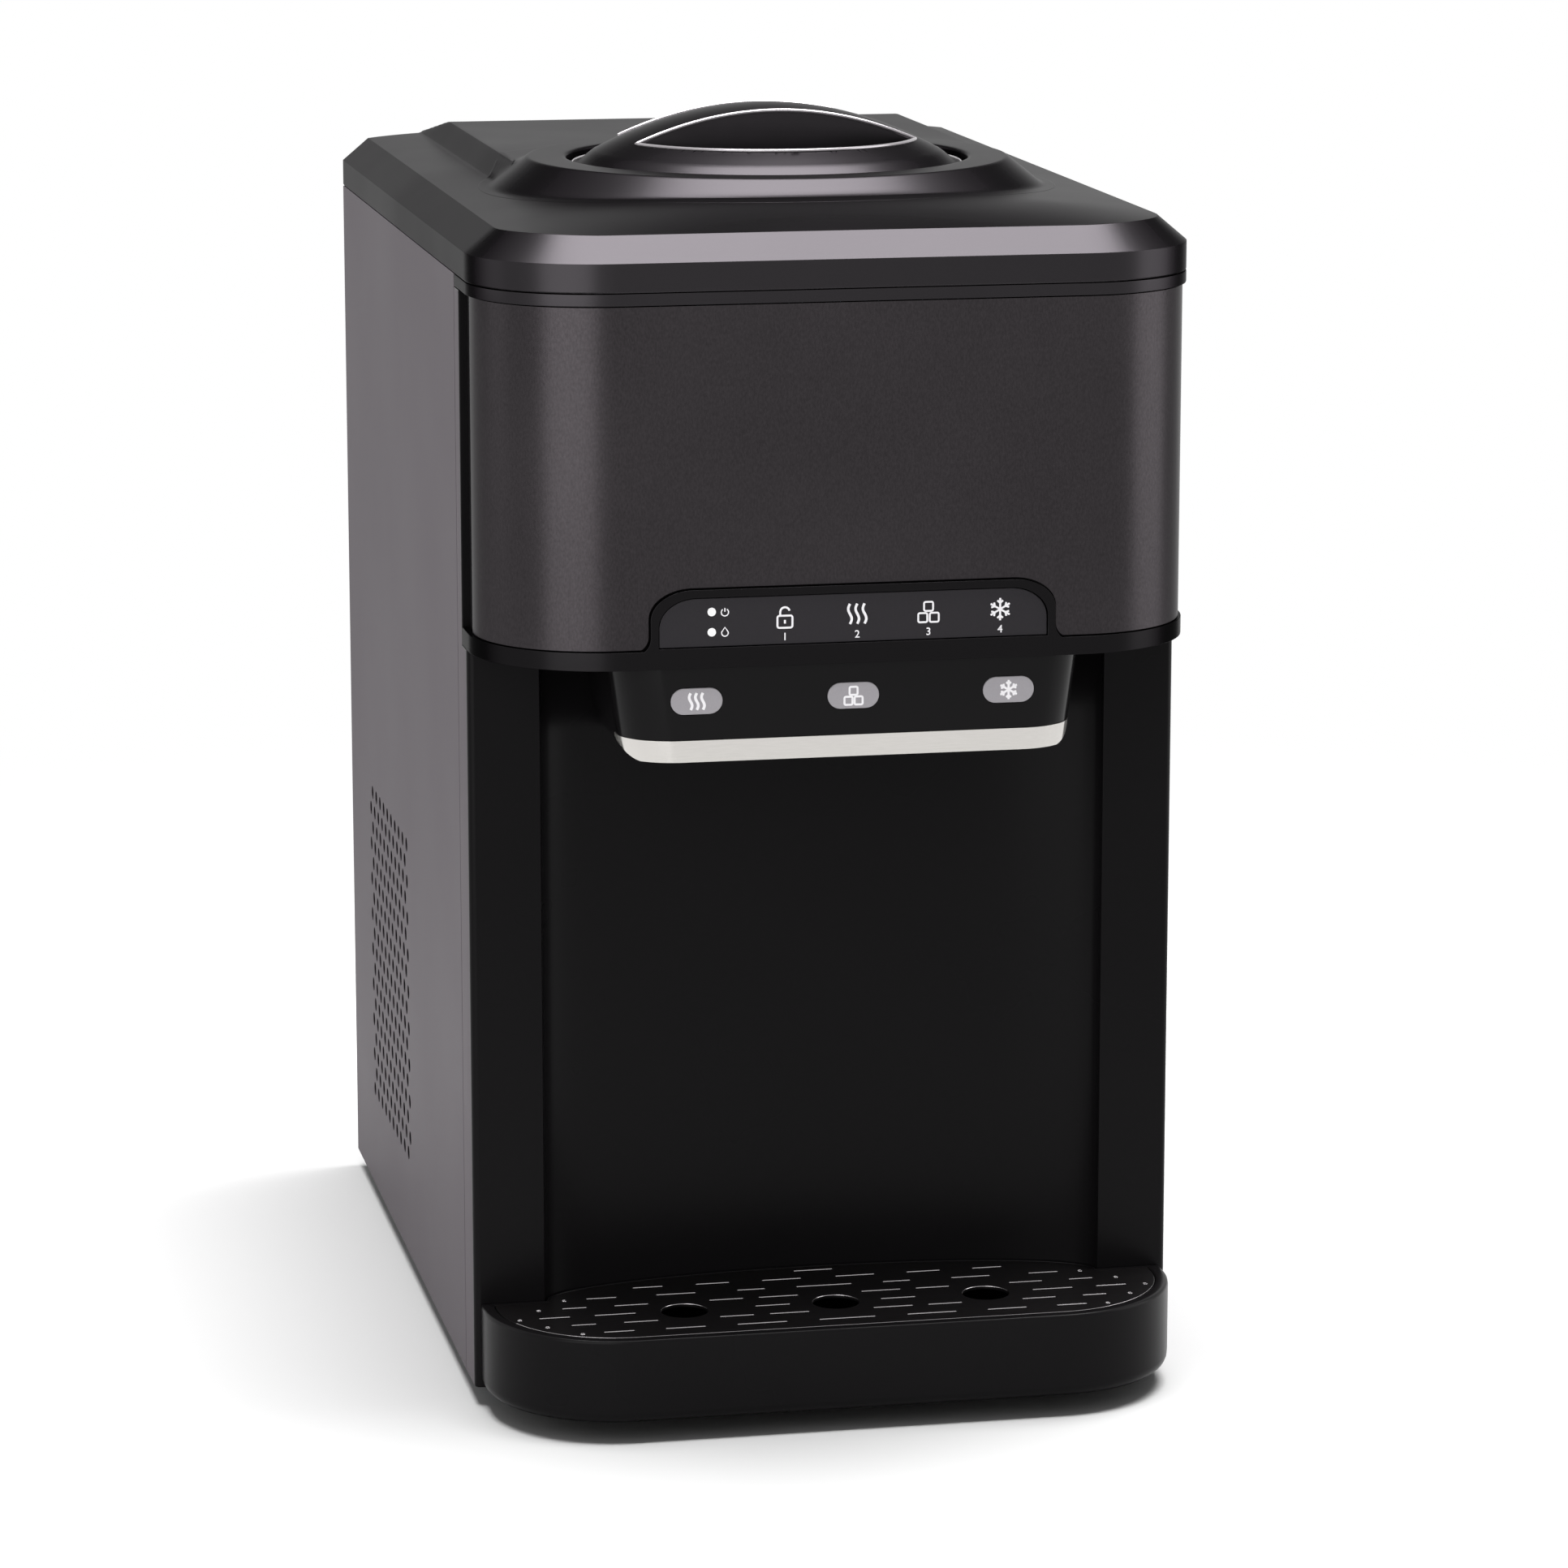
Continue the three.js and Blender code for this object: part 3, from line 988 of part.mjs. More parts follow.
// Rear fittings and power board
function makeRear() {
  const board = box(-60, 60, 213, 214.6, 230, 310);
  const parts = [
    box(-48, -16, 190, 213.5, 240, 272),
    cylinderY(10, 256, 9, 192, 213.5, 12),
    cylinderY(34, 256, 9, 192, 213.5, 12),
    box(-40, 40, 200, 213.5, 286, 300),
    box(-56, -50, 214, 222.4, 234, 240),
    box(50, 56, 214, 222.4, 234, 240),
    box(-56, -50, 214, 222.4, 300, 306),
    box(50, 56, 214, 222.4, 300, 306),
  ];
  add('power_board', join(board, ...parts), boardGreen());

  const s = SWITCH;
  const bodyOutline = rectangle(s.x - 9, s.x + 9, s.z - 14, s.z + 14);
  const bezelOutline = rectangle(s.x - 11.5, s.x + 11.5, s.z - 16.5, s.z + 16.5);
  const well = box(s.x - 6.1, s.x + 6.1, 208, 230, s.z - 11.8, s.z + 11.8);
  const housing = cut(
    join(alongY(bodyOutline, 200, 225), alongY(bezelOutline, 224.3, 225.4)),
    well,
    cylinderX(s.x - 8, s.x + 8, s.y, s.z, 1.9, 10),
  );
  add('switch_housing', housing, blackPlastic());
  const face = [[7.6, 10], [6.2, 0], [7.6, -10], [0, -8], [-4, 0], [0, 8]];
  const rocker = join(
    alongX(face.map(([u, v]) => new THREE.Vector2(u, v)), -5.7, 5.7),
    cylinderX(-7.6, 7.6, 0, 0, 1.5, 10),
  );
  add('power_rocker', rocker.rotate([-8, 0, 0]).translate([s.x, s.y, s.z]), blackPlastic());

  const gland = [[4, 219], [9.5, 219], [9.5, 222.4], [7, 222.4], [7, 224.4], [9.5, 224.4], [8.5, 225.8], [4, 225.8], [4, 219]];
  add('cord_gland', revolveY(gland, GLAND.x, GLAND.z, INNER_ROUND), rubber());
  const port = [
    [5, 200], [8, 200], [8, 209], [16.5, 209], [16.5, 222.5], [14, 222.5], [14, 224.2], [12.5, 224.2], [12.5, 211.5],
    [5, 211.5], [5, 200],
  ];
  add('drain_port', revolveY(port, DRAIN.x, DRAIN.z, 16), blackPlastic());
  const plug = [[0, 202], [4.4, 202], [4.4, 211.9], [8, 211.9], [8, 216], [10.5, 217], [10.5, 224.6], [9.5, 225.4], [0, 225.4]];
  add('drain_plug', revolveY(plug, DRAIN.x, DRAIN.z, 16), rubber());
}

function revolveY(profile, x, z, sides) {
  const points = profile.map(([radius, y]) => new THREE.Vector2(radius, y));
  return solid(new THREE.LatheGeometry(points, sides).translate(x, 0, z));
}

// One pitched blade, wider at its tip
function fanBlade() {
  const ring = (radius, width, pitch) => [[-1, -1], [1, -1], [1, 1], [-1, 1]].map(([u, v]) => {
    const across = (u * width) / 2;
    const thick = v * 0.7;
    const x = across * Math.sin(pitch) + thick * Math.cos(pitch);
    const y = across * Math.cos(pitch) - thick * Math.sin(pitch);
    return new THREE.Vector3(x, y, radius);
  });
  return loft([ring(11, 10, 0.6), ring(30, 22, 0.42), ring(FAN.blade, 30, 0.3)]);
}

makeBase();
makePanels();
makeFrontFrame();
makeUpperFront();
makeSpout();
makeTray();
makeCover();
makeCap();
makeBin();
makeChute();
makeIceUnit();
makeReservoir();
makeWater();
makeCooling();
makeRear();

export default object;
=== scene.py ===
# Looks of the countertop ice maker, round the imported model. Sizes are millimetres until a mesh is made.
import math

import bmesh
import bpy
from mathutils import Matrix, Vector


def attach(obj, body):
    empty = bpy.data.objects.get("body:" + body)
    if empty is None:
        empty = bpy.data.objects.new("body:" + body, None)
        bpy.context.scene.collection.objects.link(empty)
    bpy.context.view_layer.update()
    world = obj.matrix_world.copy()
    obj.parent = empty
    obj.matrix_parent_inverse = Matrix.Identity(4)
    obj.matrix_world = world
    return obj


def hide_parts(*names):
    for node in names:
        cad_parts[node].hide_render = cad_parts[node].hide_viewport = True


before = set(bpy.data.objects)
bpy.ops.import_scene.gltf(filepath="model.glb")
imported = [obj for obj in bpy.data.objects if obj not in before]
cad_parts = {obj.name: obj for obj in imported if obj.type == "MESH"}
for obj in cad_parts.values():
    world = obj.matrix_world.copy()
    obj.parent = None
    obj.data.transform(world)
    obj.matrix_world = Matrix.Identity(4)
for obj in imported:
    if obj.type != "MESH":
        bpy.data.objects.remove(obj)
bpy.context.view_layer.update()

MM = 0.001

# Turns from the plane that an outline is drawn in
TO_FRONT = Matrix(((1, 0, 0, 0), (0, 0, -1, 0), (0, 1, 0, 0), (0, 0, 0, 1)))
TO_REAR = Matrix(((1, 0, 0, 0), (0, 0, 1, 0), (0, -1, 0, 0), (0, 0, 0, 1)))
TO_SIDE = Matrix(((0, 0, 1, 0), (1, 0, 0, 0), (0, 1, 0, 0), (0, 0, 0, 1)))

# Sizes shared with the solids, apart from the tray's width and corners, which follow the photo
HALF = 150.0
REAR_Y = 226.0
FASCIA_Y = -162.0
SEAM_Y = -136.3
BODY_Z = 8.0
BODY_TOP_Z = 476.4
SHEET = 1.2
WALL = 2.5
FRONT_Y = -219.5
CORNER = 52.5
RIM_FRONT_Y = -221.3
RIM_CORNER = 56.0
RIM_Z = 324.3
RIM_TOP_Z = 331.8
SKIN_TOP_Z = 471.1
SKIN_HALF = 148.2
KEYS_Z = 333.0
ARCH_HALF = 80.3
ARCH_TOP_HALF = 65.0
ARCH_TOP_Z = 352.8
ARCH_BAND = 3.6
KEYS_FRONT_Y = RIM_FRONT_Y + 0.7
RECESS_HALF = 120.0
RECESS_DEPTH = 29.5
TRAY_HALF = 147.4
TRAY_FRONT_Y = -226.0
TRAY_CORNER = 56.5
TRAY_Z = 8.8
TRAY_TOP_Z = 44.8
TRAY_RIM = 5.4
GRILLE_Z = 42.9
GRILLE_TOP_Z = 44.4
OUTLET_X = 64.8
OUTLET_Y = -187.0
SPOUT_Z = 285.4
SPOUT_LOW_HALF = 93.6
SPOUT_TOP_HALF = 98.7
SPOUT_FRONT_Y = -219.0
SPOUT_CORNER = 23.0
SPOUT_EDGE = 10.0
TRIM_TOP_Z = 294.3
TRIM_END_Y = -194.0
LABEL_Z = 310.5
COVER_Z = 476.7
COVER_WALL_Z = 488.4
COVER_REAR_Y = 225.5
CHAMFER = 12.0
DECK_HALF = 138.0
DECK_Z = 498.5
WELL_Y = -39.6
BOSS_TOP_Z = 513.1
BOSS_TOP_R = 103.0
BOSS_FALL = 12.1 / 15.0
MOUTH_R = 86.1
LEDGE_R = 80.0
CAP_R = 84.6
CAP_TOP_Z = 535.4
DOME = 0.0036
POCKET_R = 64.0
POCKET_CHORD = 21.5
POCKET_Z = 514.5
POCKET_SKIN = 2.4
CAP_RING_R = 83.6
CAP_RING_Z = 509.95

# Sizes of the detail that only this script has
FLANGE_X = 138
FLANGE_Y = (221.3, 222.5)
FOLD_X = 147.6
POST_WIDTH = 6
POST_FRONT_Y = -148.7
SHELF_HALF = 132
SHELF_FRONT_Y = -212
SHELF_CORNER = 46
FLOOR_SHEET_Z = BODY_Z - 1.2
ARCH_FOOT = 6.5
ARCH_BEND = 12.0
CHUTE_HALF = 23.6
CHUTE_Y = (-208.6, -165.4)
NUMBER_Z = 334.6
NUMBER_SIZE = 4.4
SIGN_FLATNESS = 0.12
POWER_LAMP_Z = 347.2
WATER_LAMP_Z = 338.9
LAMP_X = -58.8
LAMP_R = 1.75
REAR_SCREW_Y = 224.0

# Points and outlines


def arc(cx, cy, radius, start, end, steps):
    angles = [math.radians(start + (end - start) * i / steps) for i in range(steps + 1)]
    return [(cx + radius * math.cos(a), cy + radius * math.sin(a)) for a in angles]


def bow(half, front, rear, radius, steps=18):
    return [
        (half, rear),
        (-half, rear),
        *arc(radius - half, front + radius, radius, 180, 270, steps),
        *arc(half - radius, front + radius, radius, 270, 360, steps),
    ]


def rectangle(x0, x1, y0, y1):
    return [(x1, y1), (x0, y1), (x0, y0), (x1, y0)]


def rounded(x0, x1, y0, y1, radius, steps=5):
    return [
        *arc(x1 - radius, y1 - radius, radius, 0, 90, steps),
        *arc(x0 + radius, y1 - radius, radius, 90, 180, steps),
        *arc(x0 + radius, y0 + radius, radius, 180, 270, steps),
        *arc(x1 - radius, y0 + radius, radius, 270, 360, steps),
    ]


def circle(cx, cy, radius, steps=24):
    return arc(cx, cy, radius, 0, 360 - 360 / steps, steps - 1)


def stadium(cx, cy, length, height, steps=10):
    radius = height / 2
    reach = length / 2 - radius
    return [
        *arc(cx + reach, cy, radius, -90, 90, steps),
        *arc(cx - reach, cy, radius, 90, 270, steps),
    ]


def recess(grow, steps=64):
    curve = []
    for i in range(steps + 1):
        a = math.pi * i / steps
        curve.append(((RECESS_HALF + grow) * math.cos(a), FASCIA_Y + (RECESS_DEPTH + grow) * math.sin(a)))
    return curve


def smooth_max(a, b, k):
    h = max(k - abs(a - b), 0.0) / k
    return max(a, b) + h * h * k / 4


def smooth_min(a, b, k):
    return -smooth_max(-a, -b, k)


# Meshes


def mesh_from(points, faces, name="form"):
    mesh = bpy.data.meshes.new(name)
    mesh.from_pydata([(x * MM, y * MM, z * MM) for x, y, z in points], [], faces)
    mesh.update()
    return mesh


def loft(rings, closed_start=True, closed_end=True):
    count = len(rings[0])
    points = [p for ring in rings for p in ring]
    faces = []
    for r in range(len(rings) - 1):
        for i in range(count):
            a = r * count + i
            b = r * count + (i + 1) % count
            faces.append((a, b, b + count, a + count))
    if closed_start:
        faces.append(tuple(reversed(range(count))))
    if closed_end:
        last = (len(rings) - 1) * count
        faces.append(tuple(range(last, last + count)))
    return mesh_from(points, faces)


def level(outline, z):
    return [(x, y, z) for x, y in outline]


def prism(outline, z0, z1):
    return loft([level(outline, z0), level(outline, z1)])


def box(x0, x1, y0, y1, z0, z1):
    return prism(rectangle(x0, x1, y0, y1), z0, z1)


def turned(mesh, matrix):
    mesh.transform(matrix)
    if matrix.determinant() < 0:
        mesh.flip_normals()
    return mesh


def moved(mesh, x=0.0, y=0.0, z=0.0):
    return turned(mesh, Matrix.Translation((x * MM, y * MM, z * MM)))


def prism_y(outline_xz, y0, y1):
    return turned(prism(outline_xz, -y1, -y0), TO_FRONT)


def side_box(side, x0, x1, y0, y1, z0, z1):
    """A box on the left (side -1) or right (side 1), x0 and x1 counted from the middle."""
    return box(*sorted((side * x0, side * x1)), y0, y1, z0, z1)


def revolve(profile, cx, cy, steps=96):
    rings = []
    for radius, z in profile:
        ring = circle(0, 0, max(radius, 0.01), steps)
        rings.append([(cx + x, cy + y, z) for x, y in ring])
    return loft(rings)


def temporary(mesh):
    obj = bpy.data.objects.new("temporary", mesh)
    bpy.context.scene.collection.objects.link(obj)
    return obj


def applied(obj):
    depsgraph = bpy.context.evaluated_depsgraph_get()
    result = bpy.data.meshes.new_from_object(obj.evaluated_get(depsgraph))
    bpy.data.objects.remove(obj)
    return result


def merged(*meshes):
    joined = bmesh.new()
    for mesh in meshes:
        joined.from_mesh(mesh)
    result = bpy.data.meshes.new("form")
    joined.to_mesh(result)
    joined.free()
    return result


def boolean(mesh, other, operation="DIFFERENCE"):
    target, tool = temporary(mesh), temporary(other)
    modifier = target.modifiers.new("boolean", "BOOLEAN")
    modifier.operation = operation
    modifier.solver = "EXACT"
    modifier.object = tool
    result = applied(target)
    bpy.data.objects.remove(tool)
    return result


def bevelled(mesh, width, segments=2, angle=38):
    obj = temporary(mesh)
    modifier = obj.modifiers.new("bevel", "BEVEL")
    modifier.width = width * MM
    modifier.segments = segments
    modifier.limit_method = "ANGLE"
    modifier.angle_limit = math.radians(angle)
    modifier.use_clamp_overlap = True
    modifier.harden_normals = False
    return applied(obj)


def plate(outlines, thickness, edge=0.2, steps=1):
    """A flat plate in the XY plane from outlines, the first outside and the rest holes, centred on z = 0."""
    curve = bpy.data.curves.new("plate", "CURVE")
    curve.dimensions = "2D"
    curve.fill_mode = "BOTH"
    curve.extrude = (thickness / 2 - edge) * MM
    curve.bevel_depth = edge * MM
    curve.bevel_resolution = steps
    curve.offset = -edge * MM
    for outline in outlines:
        spline = curve.splines.new("POLY")
        spline.points.add(len(outline) - 1)
        for point, (x, y) in zip(spline.points, outline):
            point.co = (x * MM, y * MM, 0, 1)
        spline.use_cyclic_u = True
    return applied(temporary(curve))


def facing_front(mesh, y):
    """Turns a plate from XY to XZ, its middle at y."""
    return moved(turned(mesh, TO_FRONT), y=y)


def facing_side(mesh, x):
    """Turns a plate from XY to YZ, its middle at x."""
    return moved(turned(mesh, TO_SIDE), x=x)


def bead(points, radius, closed=False, sides=2):
    curve = bpy.data.curves.new("bead", "CURVE")
    curve.dimensions = "3D"
    curve.bevel_depth = radius * MM
    curve.bevel_resolution = sides
    curve.use_fill_caps = not closed
    spline = curve.splines.new("POLY")
    spline.points.add(len(points) - 1)
    for point, (x, y, z) in zip(spline.points, points):
        point.co = (x * MM, y * MM, z * MM, 1)
    spline.use_cyclic_u = closed
    return applied(temporary(curve))


# Procedural materials


def shader(name):
    material = bpy.data.materials.new(name)
    material.use_nodes = True
    nodes = material.node_tree.nodes
    principled = nodes["Principled BSDF"]
    return material, nodes, material.node_tree.links, principled


def noise(nodes, links, scale, detail=3.0, stretch=(1, 1, 1)):
    coordinates = nodes.new("ShaderNodeTexCoord")
    mapping = nodes.new("ShaderNodeMapping")
    mapping.inputs["Scale"].default_value = stretch
    texture = nodes.new("ShaderNodeTexNoise")
    texture.inputs["Scale"].default_value = scale
    texture.inputs["Detail"].default_value = detail
    links.new(coordinates.outputs["Object"], mapping.inputs["Vector"])
    links.new(mapping.outputs["Vector"], texture.inputs["Vector"])
    return texture.outputs["Fac"]


def finish(name, dark, light, rough, metallic=0.0, grain=2200, bump=0.05, stretch=(1, 1, 1),
           patch=9, specular=0.5, grazing=1.0):
    """A surface with fine grain in its relief and colour, broad patches and uneven roughness."""
    material, nodes, links, principled = shader(name)
    fine = noise(nodes, links, grain, 2.0, stretch)
    broad = noise(nodes, links, patch, 4.0)
    blend = nodes.new("ShaderNodeMath")
    blend.operation = "MULTIPLY_ADD"
    blend.inputs[1].default_value = 0.65
    links.new(fine, blend.inputs[0])
    share = nodes.new("ShaderNodeMath")
    share.operation = "MULTIPLY"
    share.inputs[1].default_value = 0.35
    links.new(broad, share.inputs[0])
    links.new(share.outputs[0], blend.inputs[2])
    ramp = nodes.new("ShaderNodeValToRGB")
    ramp.color_ramp.elements[0].position = 0.32
    ramp.color_ramp.elements[1].position = 0.68
    ramp.color_ramp.elements[0].color = (*dark, 1)
    ramp.color_ramp.elements[1].color = (*light, 1)
    links.new(blend.outputs[0], ramp.inputs["Fac"])
    links.new(ramp.outputs["Color"], principled.inputs["Base Color"])
    spread = nodes.new("ShaderNodeMapRange")
    spread.inputs["To Min"].default_value = max(rough - 0.05, 0.02)
    spread.inputs["To Max"].default_value = rough + 0.05
    links.new(broad, spread.inputs["Value"])
    links.new(spread.outputs["Result"], principled.inputs["Roughness"])
    relief = nodes.new("ShaderNodeBump")
    relief.inputs["Strength"].default_value = bump
    relief.inputs["Distance"].default_value = 0.0002
    links.new(fine, relief.inputs["Height"])
    links.new(relief.outputs["Normal"], principled.inputs["Normal"])
    principled.inputs["Metallic"].default_value = metallic
    principled.inputs["Specular IOR Level"].default_value = specular
    principled.inputs["Specular Tint"].default_value = (grazing, grazing, grazing, 1)
    return material


def linear(code):
    values = [int(code[i:i + 2], 16) / 255 for i in (0, 2, 4)]
    return tuple(v / 12.92 if v <= 0.04045 else ((v + 0.055) / 1.055) ** 2.4 for v in values)


def toned(code, spread):
    base = linear(code)
    return tuple(v * (1 - spread) for v in base), tuple(min(v * (1 + spread), 1) for v in base)


def surface(name, code, spread, rough, **more):
    dark, light = toned(code, spread)
    return finish(name, dark, light, rough, **more)


SIDE = surface("side_paint", "504a4f", 0.05, 0.5, grain=3200, bump=0.03, specular=0.08)
BLACK = surface("black_satin_plastic", "0e0d0e", 0.10, 0.28, grain=3600, bump=0.05, specular=0.06)
RIM = surface("black_rim_plastic", "1b1a1b", 0.08, 0.26, grain=3200, bump=0.03,
              metallic=0.95, specular=0.1, grazing=0.3)
GLOSS = surface("black_gloss_plastic", "0e0d0e", 0.08, 0.16, grain=3000, bump=0.02, specular=0.11)
COVER = surface("cover_plastic", "2e2c2e", 0.05, 0.31, grain=3400, bump=0.03,
                metallic=0.97, specular=0.1, grazing=0.33)
SKIN = surface("dark_front_steel", "343133", 0.2, 0.3, grain=1500, bump=0.06, stretch=(1, 1, 0.45),
               metallic=0.9, specular=0.2, grazing=0.5)
KEYS = surface("key_film", "252326", 0.12, 0.42, grain=2400, bump=0.03, specular=0.15)
TRIM = surface("satin_trim", "d0cdc9", 0.03, 0.14, grain=2600, bump=0.02, stretch=(0.05, 1, 1), metallic=0.75)
LABEL = surface("label_plate", "979498", 0.04, 0.5, grain=2600, bump=0.05, specular=0.2)
PRINT = surface("white_print", "e9e7ea", 0.03, 0.55, grain=3000, bump=0.04, specular=0.3)
GRILLE = surface("grille_steel", "1b191a", 0.30, 0.34, grain=900, bump=0.10, stretch=(0.04, 1, 1),
                 metallic=0.7)
# Light metal for the painted highlights along the grille's edges.
EDGE = surface("painted_highlight_edge", "b4b0b2", 0.06, 0.25, grain=1800, bump=0.03, metallic=0.9)
# Light grey metal for the painted highlights on the cap's rounded edges.
CAP_HIGHLIGHT = surface("cap_painted_highlight", "918d90", 0.06, 0.22, grain=1800, bump=0.02, metallic=0.8)
ZINC = surface("galvanised_sheet", "8f9294", 0.12, 0.42, grain=160, bump=0.04, metallic=0.8)
STEEL = surface("stainless_sheet", "b9bbbd", 0.05, 0.28, grain=700, bump=0.05, stretch=(1, 1, 0.05),
                metallic=0.9)
COPPER = surface("copper_tube", "b06a42", 0.12, 0.32, grain=300, bump=0.03, metallic=0.9)
# Near black coil fins: painted shade, so that the side vents read dark.
FINS = surface("coil_fins_painted_shade", "1d1e1f", 0.12, 0.5, grain=500, bump=0.05, specular=0.1)
RUBBER = surface("black_rubber", "171717", 0.12, 0.8, grain=900, bump=0.12, specular=0.3)
WHITE = surface("white_plastic", "dcdcd6", 0.03, 0.45, grain=1500, bump=0.05)
SILICONE = surface("silicone_hose", "cfcfc9", 0.04, 0.5, grain=700, bump=0.04)
BOARD = surface("circuit_board", "1f5a38", 0.10, 0.5, grain=260, bump=0.08)
FOAM = surface("foam", "e6e4da", 0.05, 0.9, grain=420, bump=0.25, specular=0.2)
TANK = surface("tank_plastic", "9db4c0", 0.04, 0.3, grain=900, bump=0.03)
LAMP = surface("lamp_lens", "f1f1f1", 0.02, 0.3, grain=900, bump=0.02)


def show(name, mesh, material, body, nodes=(), sharp=32, extra=()):
    obj = bpy.data.objects.new(name, mesh)
    bpy.context.scene.collection.objects.link(obj)
    mesh.materials.clear()
    for each in (material, *extra):
        mesh.materials.append(each)
    mesh.shade_smooth()
    mesh.set_sharp_from_angle(angle=math.radians(sharp))
    normals = obj.modifiers.new("normals", "WEIGHTED_NORMAL")
    normals.keep_sharp = True
    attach(obj, body)
    if nodes:
        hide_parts(*nodes)
    return obj


# Side and rear panels


def vent_outlines():
    rows, columns, pitch_y, pitch_z, first_y, top_z, radius = 18, 10, 12.9, 8.5, 34.5, 200.4, 3.15
    holes = []
    for row in range(rows):
        shift = pitch_y / 2 if row % 2 else 0
        for column in range(columns):
            holes.append(circle(first_y + shift + column * pitch_y, top_z - row * pitch_z, radius, 20))
    return holes


# Walls of the side vent holes: they take the black plastic finish as painted shade inside the holes.
def painted_shade_vent_wall(polygon):
    y, z = polygon.center.y / MM, polygon.center.z / MM
    return 20 < y < 170 and 40 < z < 210 and abs(polygon.normal.x) < 0.3


def make_side_panels():
    front, rear = SEAM_Y + 0.55, REAR_Y
    outline = rounded(front, rear, BODY_Z, BODY_TOP_Z, 0.6, 2)
    for side, name, holes in ((-1, "left", vent_outlines()), (1, "right", [])):
        sheet = facing_side(plate([outline, *holes], SHEET, 0.25), side * (HALF - SHEET / 2))
        flange = side_box(side, HALF - 0.2, FLANGE_X, *FLANGE_Y, BODY_Z, BODY_TOP_Z)
        fold = side_box(side, HALF - 1.1, FOLD_X, front + 0.2, front + 1.2, BODY_Z + 0.5, BODY_TOP_Z - 0.5)
        mesh = merged(sheet, bevelled(flange, 0.3), fold)
        node = f"side_panel_{name}"
        obj = show(f"painted_side_{name}", mesh, SIDE, "body", [node], extra=[BLACK])
        # The vent hole walls are coloured black: painted shade.
        for polygon in obj.data.polygons:
            if painted_shade_vent_wall(polygon):
                polygon.material_index = 1


def make_rear_panel():
    half = HALF - SHEET - 0.3
    holes = []
    for x in (-42, 42):
        for row in range(12):
            holes.append(stadium(x, 68 + row * 10, 50, 4, 6))
    holes.append(circle(0, 42, 14.5, 32))
    holes.append(circle(100, 50, 7.4, 24))
    holes.append(rounded(-109.3, -90.7, 45.7, 74.3, 0.8, 2))
    sheet = facing_front(plate([rounded(-half, half, BODY_Z, BODY_TOP_Z, 1.5), *holes], SHEET, 0.25), 223.4)
    show("painted_rear", sheet, SIDE, "body", ["rear_panel"])
    places = [(x, z) for x in (-142, 142) for z in (20, 130, 240, 350, 462)]
    places += [(x, z) for x in (-60, 60) for z in (16, 468)]
    screws = [screw_head(x, z, REAR_SCREW_Y) for x, z in places]
    show("rear_screws", merged(*screws), STEEL, "body")


def screw_head(x, z, y):
    profile = [(0, 0), (3.4, 0), (3.4, 0.5), (2.7, 1.3), (1.5, 1.7), (0, 1.8)]
    head = revolve(profile, 0, 0, 20)
    for half_x, half_y in ((1.9, 0.35), (0.35, 1.9)):
        head = boolean(head, box(-half_x, half_x, -half_y, half_y, 0.9, 2.2))
    return moved(turned(head, TO_REAR), x, y, z)


# Lower front with the curved recess


def make_front_frame():
    corner = 3.0
    outer = [
        (-HALF, SEAM_Y),
        *arc(corner - HALF, FASCIA_Y + corner, corner, 180, 270, 6),
        *reversed(recess(0)),
        *arc(HALF - corner, FASCIA_Y + corner, corner, 270, 360, 6),
        (HALF, SEAM_Y),
    ]
    inner = [
        (HALF - WALL, SEAM_Y),
        (HALF - WALL, FASCIA_Y + WALL),
        *[p for p in recess(WALL) if p[1] > FASCIA_Y + WALL],
        (WALL - HALF, FASCIA_Y + WALL),
        (WALL - HALF, SEAM_Y),
    ]
    fascia = prism([*outer, *inner], BODY_Z, RIM_Z - 0.3)
    for side in (-1, 1):
        post = side_box(side, HALF, HALF - POST_WIDTH, POST_FRONT_Y, SEAM_Y, RIM_Z - 10, SKIN_TOP_Z)
        fascia = boolean(fascia, post, "UNION")
    fascia = bevelled(fascia, 0.5, 2, 60)
    shelf_plan = bow(SHELF_HALF, SHELF_FRONT_Y, FASCIA_Y + 1, SHELF_CORNER)
    shelf = bevelled(prism(shelf_plan, FLOOR_SHEET_Z, TRAY_Z - 0.4), 0.4)
    floor = prism([*recess(1), (0, FASCIA_Y - 4)], FLOOR_SHEET_Z, TRAY_Z - 0.4)
    mesh = merged(fascia, shelf, floor)
    obj = show("front_moulding", mesh, BLACK, "body", ["front_frame"], extra=[SIDE])
    for polygon in obj.data.polygons:
        if abs(polygon.center.x) > (HALF - 0.05) * MM and abs(polygon.normal.x) > 0.9:
            polygon.material_index = 1


# Upper front


def arch(grow, base_z, foot=0.0, steps=14):
    """The outline round the keys, with a fillet of radius foot where it meets the rim."""
    half = ARCH_HALF + grow
    top_half = ARCH_TOP_HALF + grow * 0.4
    top_z = ARCH_TOP_Z + grow
    side = []
    for i in range(steps + 1):
        t = i / steps * math.pi / 2
        inward = (half - top_half) * (1 - math.cos(t))
        side.append((half - inward, top_z - ARCH_BEND + ARCH_BEND * math.sin(t)))
    flare = []
    if foot:
        for i in range(steps + 1):
            t = math.pi / 2 * i / steps
            flare.append((half + foot - foot * math.sin(t), base_z + foot - foot * math.cos(t)))
    else:
        flare = [(half, base_z)]
    right = [*flare, *side]
    left = [(-x, z) for x, z in reversed(right)]
    return [*right, *left]


